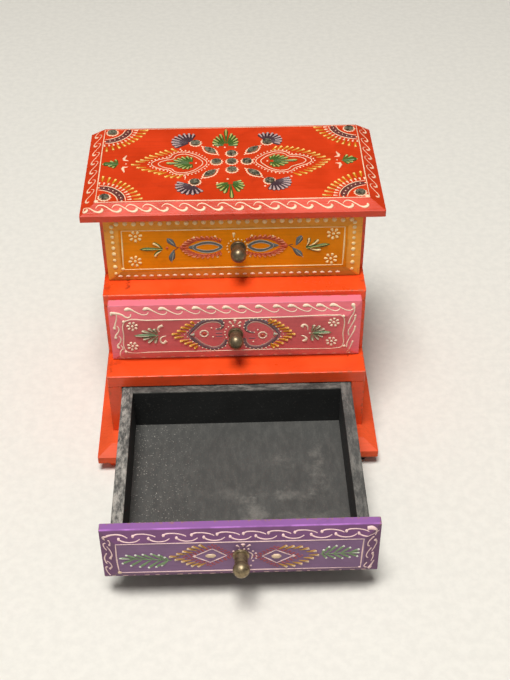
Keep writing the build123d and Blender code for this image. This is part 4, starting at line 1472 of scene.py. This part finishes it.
def paper_floor(scene, studio):
    """The pale paper floor under the box."""
    form = bmesh.new()
    bmesh.ops.create_grid(form, x_segments=1, y_segments=1, size=studio.floor_size)
    mesh = bpy.data.meshes.new("floor")
    form.to_mesh(mesh)
    form.free()
    floor = bpy.data.objects.new("floor", mesh)
    scene.collection.objects.link(floor)
    finish = Finish("floor_paper", 0.8)
    fibres = finish.noise(160.0, 4.0, 0.6)
    pale = finish.between(fibres, 0.3, 0.7)
    finish.colour(finish.mix(pale, shade(studio.floor, 0.96), shade(studio.floor, 1.03)))
    finish.rough(finish.between(fibres, 0.3, 0.7, 0.75, 0.9))
    mesh.materials.append(finish.material)


def soft_lamp(scene, name, place, target, width, power, spread):
    """A round soft lamp turned to a target."""
    data = bpy.data.lights.new(name, "AREA")
    data.shape = "DISK"
    data.size = width
    data.energy = power
    data.spread = spread
    holder = bpy.data.objects.new(name, data)
    holder.location = place
    holder.rotation_euler = (Vector(target) - Vector(place)).to_track_quat("-Z", "Y").to_euler()
    scene.collection.objects.link(holder)


def fading_sky(scene, strength):
    """A pale sky that darkens towards the rear, so the lid's gloss stays deep."""
    world = bpy.data.worlds.new("sky")
    world.use_nodes = True
    tree = world.node_tree
    sky = tree.nodes["Background"]
    sky.inputs["Color"].default_value = SKY_TINT
    facing = tree.nodes.new("ShaderNodeSeparateXYZ")
    fade = tree.nodes.new("ShaderNodeMapRange")
    fade.inputs["From Min"].default_value = SKY_FADE[0]
    fade.inputs["From Max"].default_value = SKY_FADE[1]
    fade.inputs["To Min"].default_value = strength
    fade.inputs["To Max"].default_value = strength * SKY_REAR_SHARE
    tree.links.new(tree.nodes.new("ShaderNodeTexCoord").outputs["Generated"], facing.inputs[0])
    tree.links.new(facing.outputs["Y"], fade.inputs["Value"])
    tree.links.new(fade.outputs["Result"], sky.inputs["Strength"])
    scene.world = world


def front_camera(scene, lens):
    """A camera in front of the box, looking down on it."""
    pitch, yaw, roll = (math.radians(angle) for angle in (CAMERA_PITCH, CAMERA_YAW, CAMERA_ROLL))
    ahead = Vector((math.sin(yaw) * math.cos(pitch), math.cos(yaw) * math.cos(pitch), -math.sin(pitch)))
    right = Vector((math.cos(yaw), -math.sin(yaw), 0.0))
    up = right.cross(ahead)
    level = math.cos(roll) * right + math.sin(roll) * up
    upright = math.cos(roll) * up - math.sin(roll) * right
    data = bpy.data.cameras.new("camera")
    data.lens = lens
    data.sensor_width = SENSOR_SIDE
    data.clip_start = NEAREST_SEEN
    camera = bpy.data.objects.new("camera", data)
    turned = Matrix((level, upright, -ahead)).transposed().to_4x4()
    camera.matrix_world = Matrix.Translation(CAMERA_PLACE) @ turned
    scene.collection.objects.link(camera)
    scene.camera = camera


class DRAWER_BOX_OT_studio(bpy.types.Operator):
    """Set the pale floor, soft lamps, sky and camera"""
    bl_idname = "drawer_box.studio"
    bl_label = "Studio"

    def execute(self, context):
        scene = context.scene
        studio = scene.drawer_box_studio
        paper_floor(scene, studio)
        soft_lamp(scene, "key", KEY_PLACE, KEY_TARGET, KEY_WIDTH, studio.key_power, studio.key_spread)
        soft_lamp(scene, "fill", FILL_PLACE, FILL_TARGET, FILL_WIDTH, studio.fill_power, math.pi)
        fading_sky(scene, studio.sky)
        front_camera(scene, studio.lens)
        scene.view_settings.view_transform = "Standard"
        return {"FINISHED"}


class DRAWER_BOX_PT_panel(bpy.types.Panel):
    """Steps that dress the drawer box"""
    bl_idname = "DRAWER_BOX_PT_panel"
    bl_label = "Painted Drawer Box"
    bl_space_type = "VIEW_3D"
    bl_region_type = "UI"
    bl_category = "Drawer Box"

    def draw(self, context):
        column = self.layout.column(align=True)
        for step in STEPS:
            column.operator(step.bl_idname)
        for group in ("drawer_box_paints", "drawer_box_relief", "drawer_box_studio"):
            settings = getattr(context.scene, group)
            box = self.layout.box()
            for key in settings.__annotations__:
                box.prop(settings, key)


STEPS = (
    DRAWER_BOX_OT_studio,
    DRAWER_BOX_OT_carcass_paint,
    DRAWER_BOX_OT_drawer_paint,
    DRAWER_BOX_OT_metalwork,
    DRAWER_BOX_OT_lid_border,
    DRAWER_BOX_OT_lid_mirror_rims,
    DRAWER_BOX_OT_lid_corner_fans,
    DRAWER_BOX_OT_lid_hearts,
    DRAWER_BOX_OT_lid_leaves,
    DRAWER_BOX_OT_top_front_ornament,
    DRAWER_BOX_OT_middle_front_ornament,
    DRAWER_BOX_OT_bottom_front_ornament,
)
GROUPS = (
    ("drawer_box_paints", BoxPaints),
    ("drawer_box_relief", ReliefSizes),
    ("drawer_box_studio", StudioSettings),
)


def register():
    for name, group in GROUPS:
        bpy.utils.register_class(group)
        setattr(bpy.types.Scene, name, bpy.props.PointerProperty(type=group))
    for step in STEPS:
        bpy.utils.register_class(step)
    bpy.utils.register_class(DRAWER_BOX_PT_panel)


def unregister():
    bpy.utils.unregister_class(DRAWER_BOX_PT_panel)
    for step in reversed(STEPS):
        bpy.utils.unregister_class(step)
    for name, group in reversed(GROUPS):
        delattr(bpy.types.Scene, name)
        bpy.utils.unregister_class(group)


def main():
    register()
    bpy.ops.drawer_box.studio()
    bpy.ops.drawer_box.carcass_paint()
    bpy.ops.drawer_box.drawer_paint()
    bpy.ops.drawer_box.metalwork()
    bpy.ops.drawer_box.lid_border()
    bpy.ops.drawer_box.lid_mirror_rims()
    bpy.ops.drawer_box.lid_corner_fans()
    bpy.ops.drawer_box.lid_hearts()
    bpy.ops.drawer_box.lid_leaves()
    bpy.ops.drawer_box.top_front_ornament()
    bpy.ops.drawer_box.middle_front_ornament()
    bpy.ops.drawer_box.bottom_front_ornament()


if __name__ == "__main__":
    main()
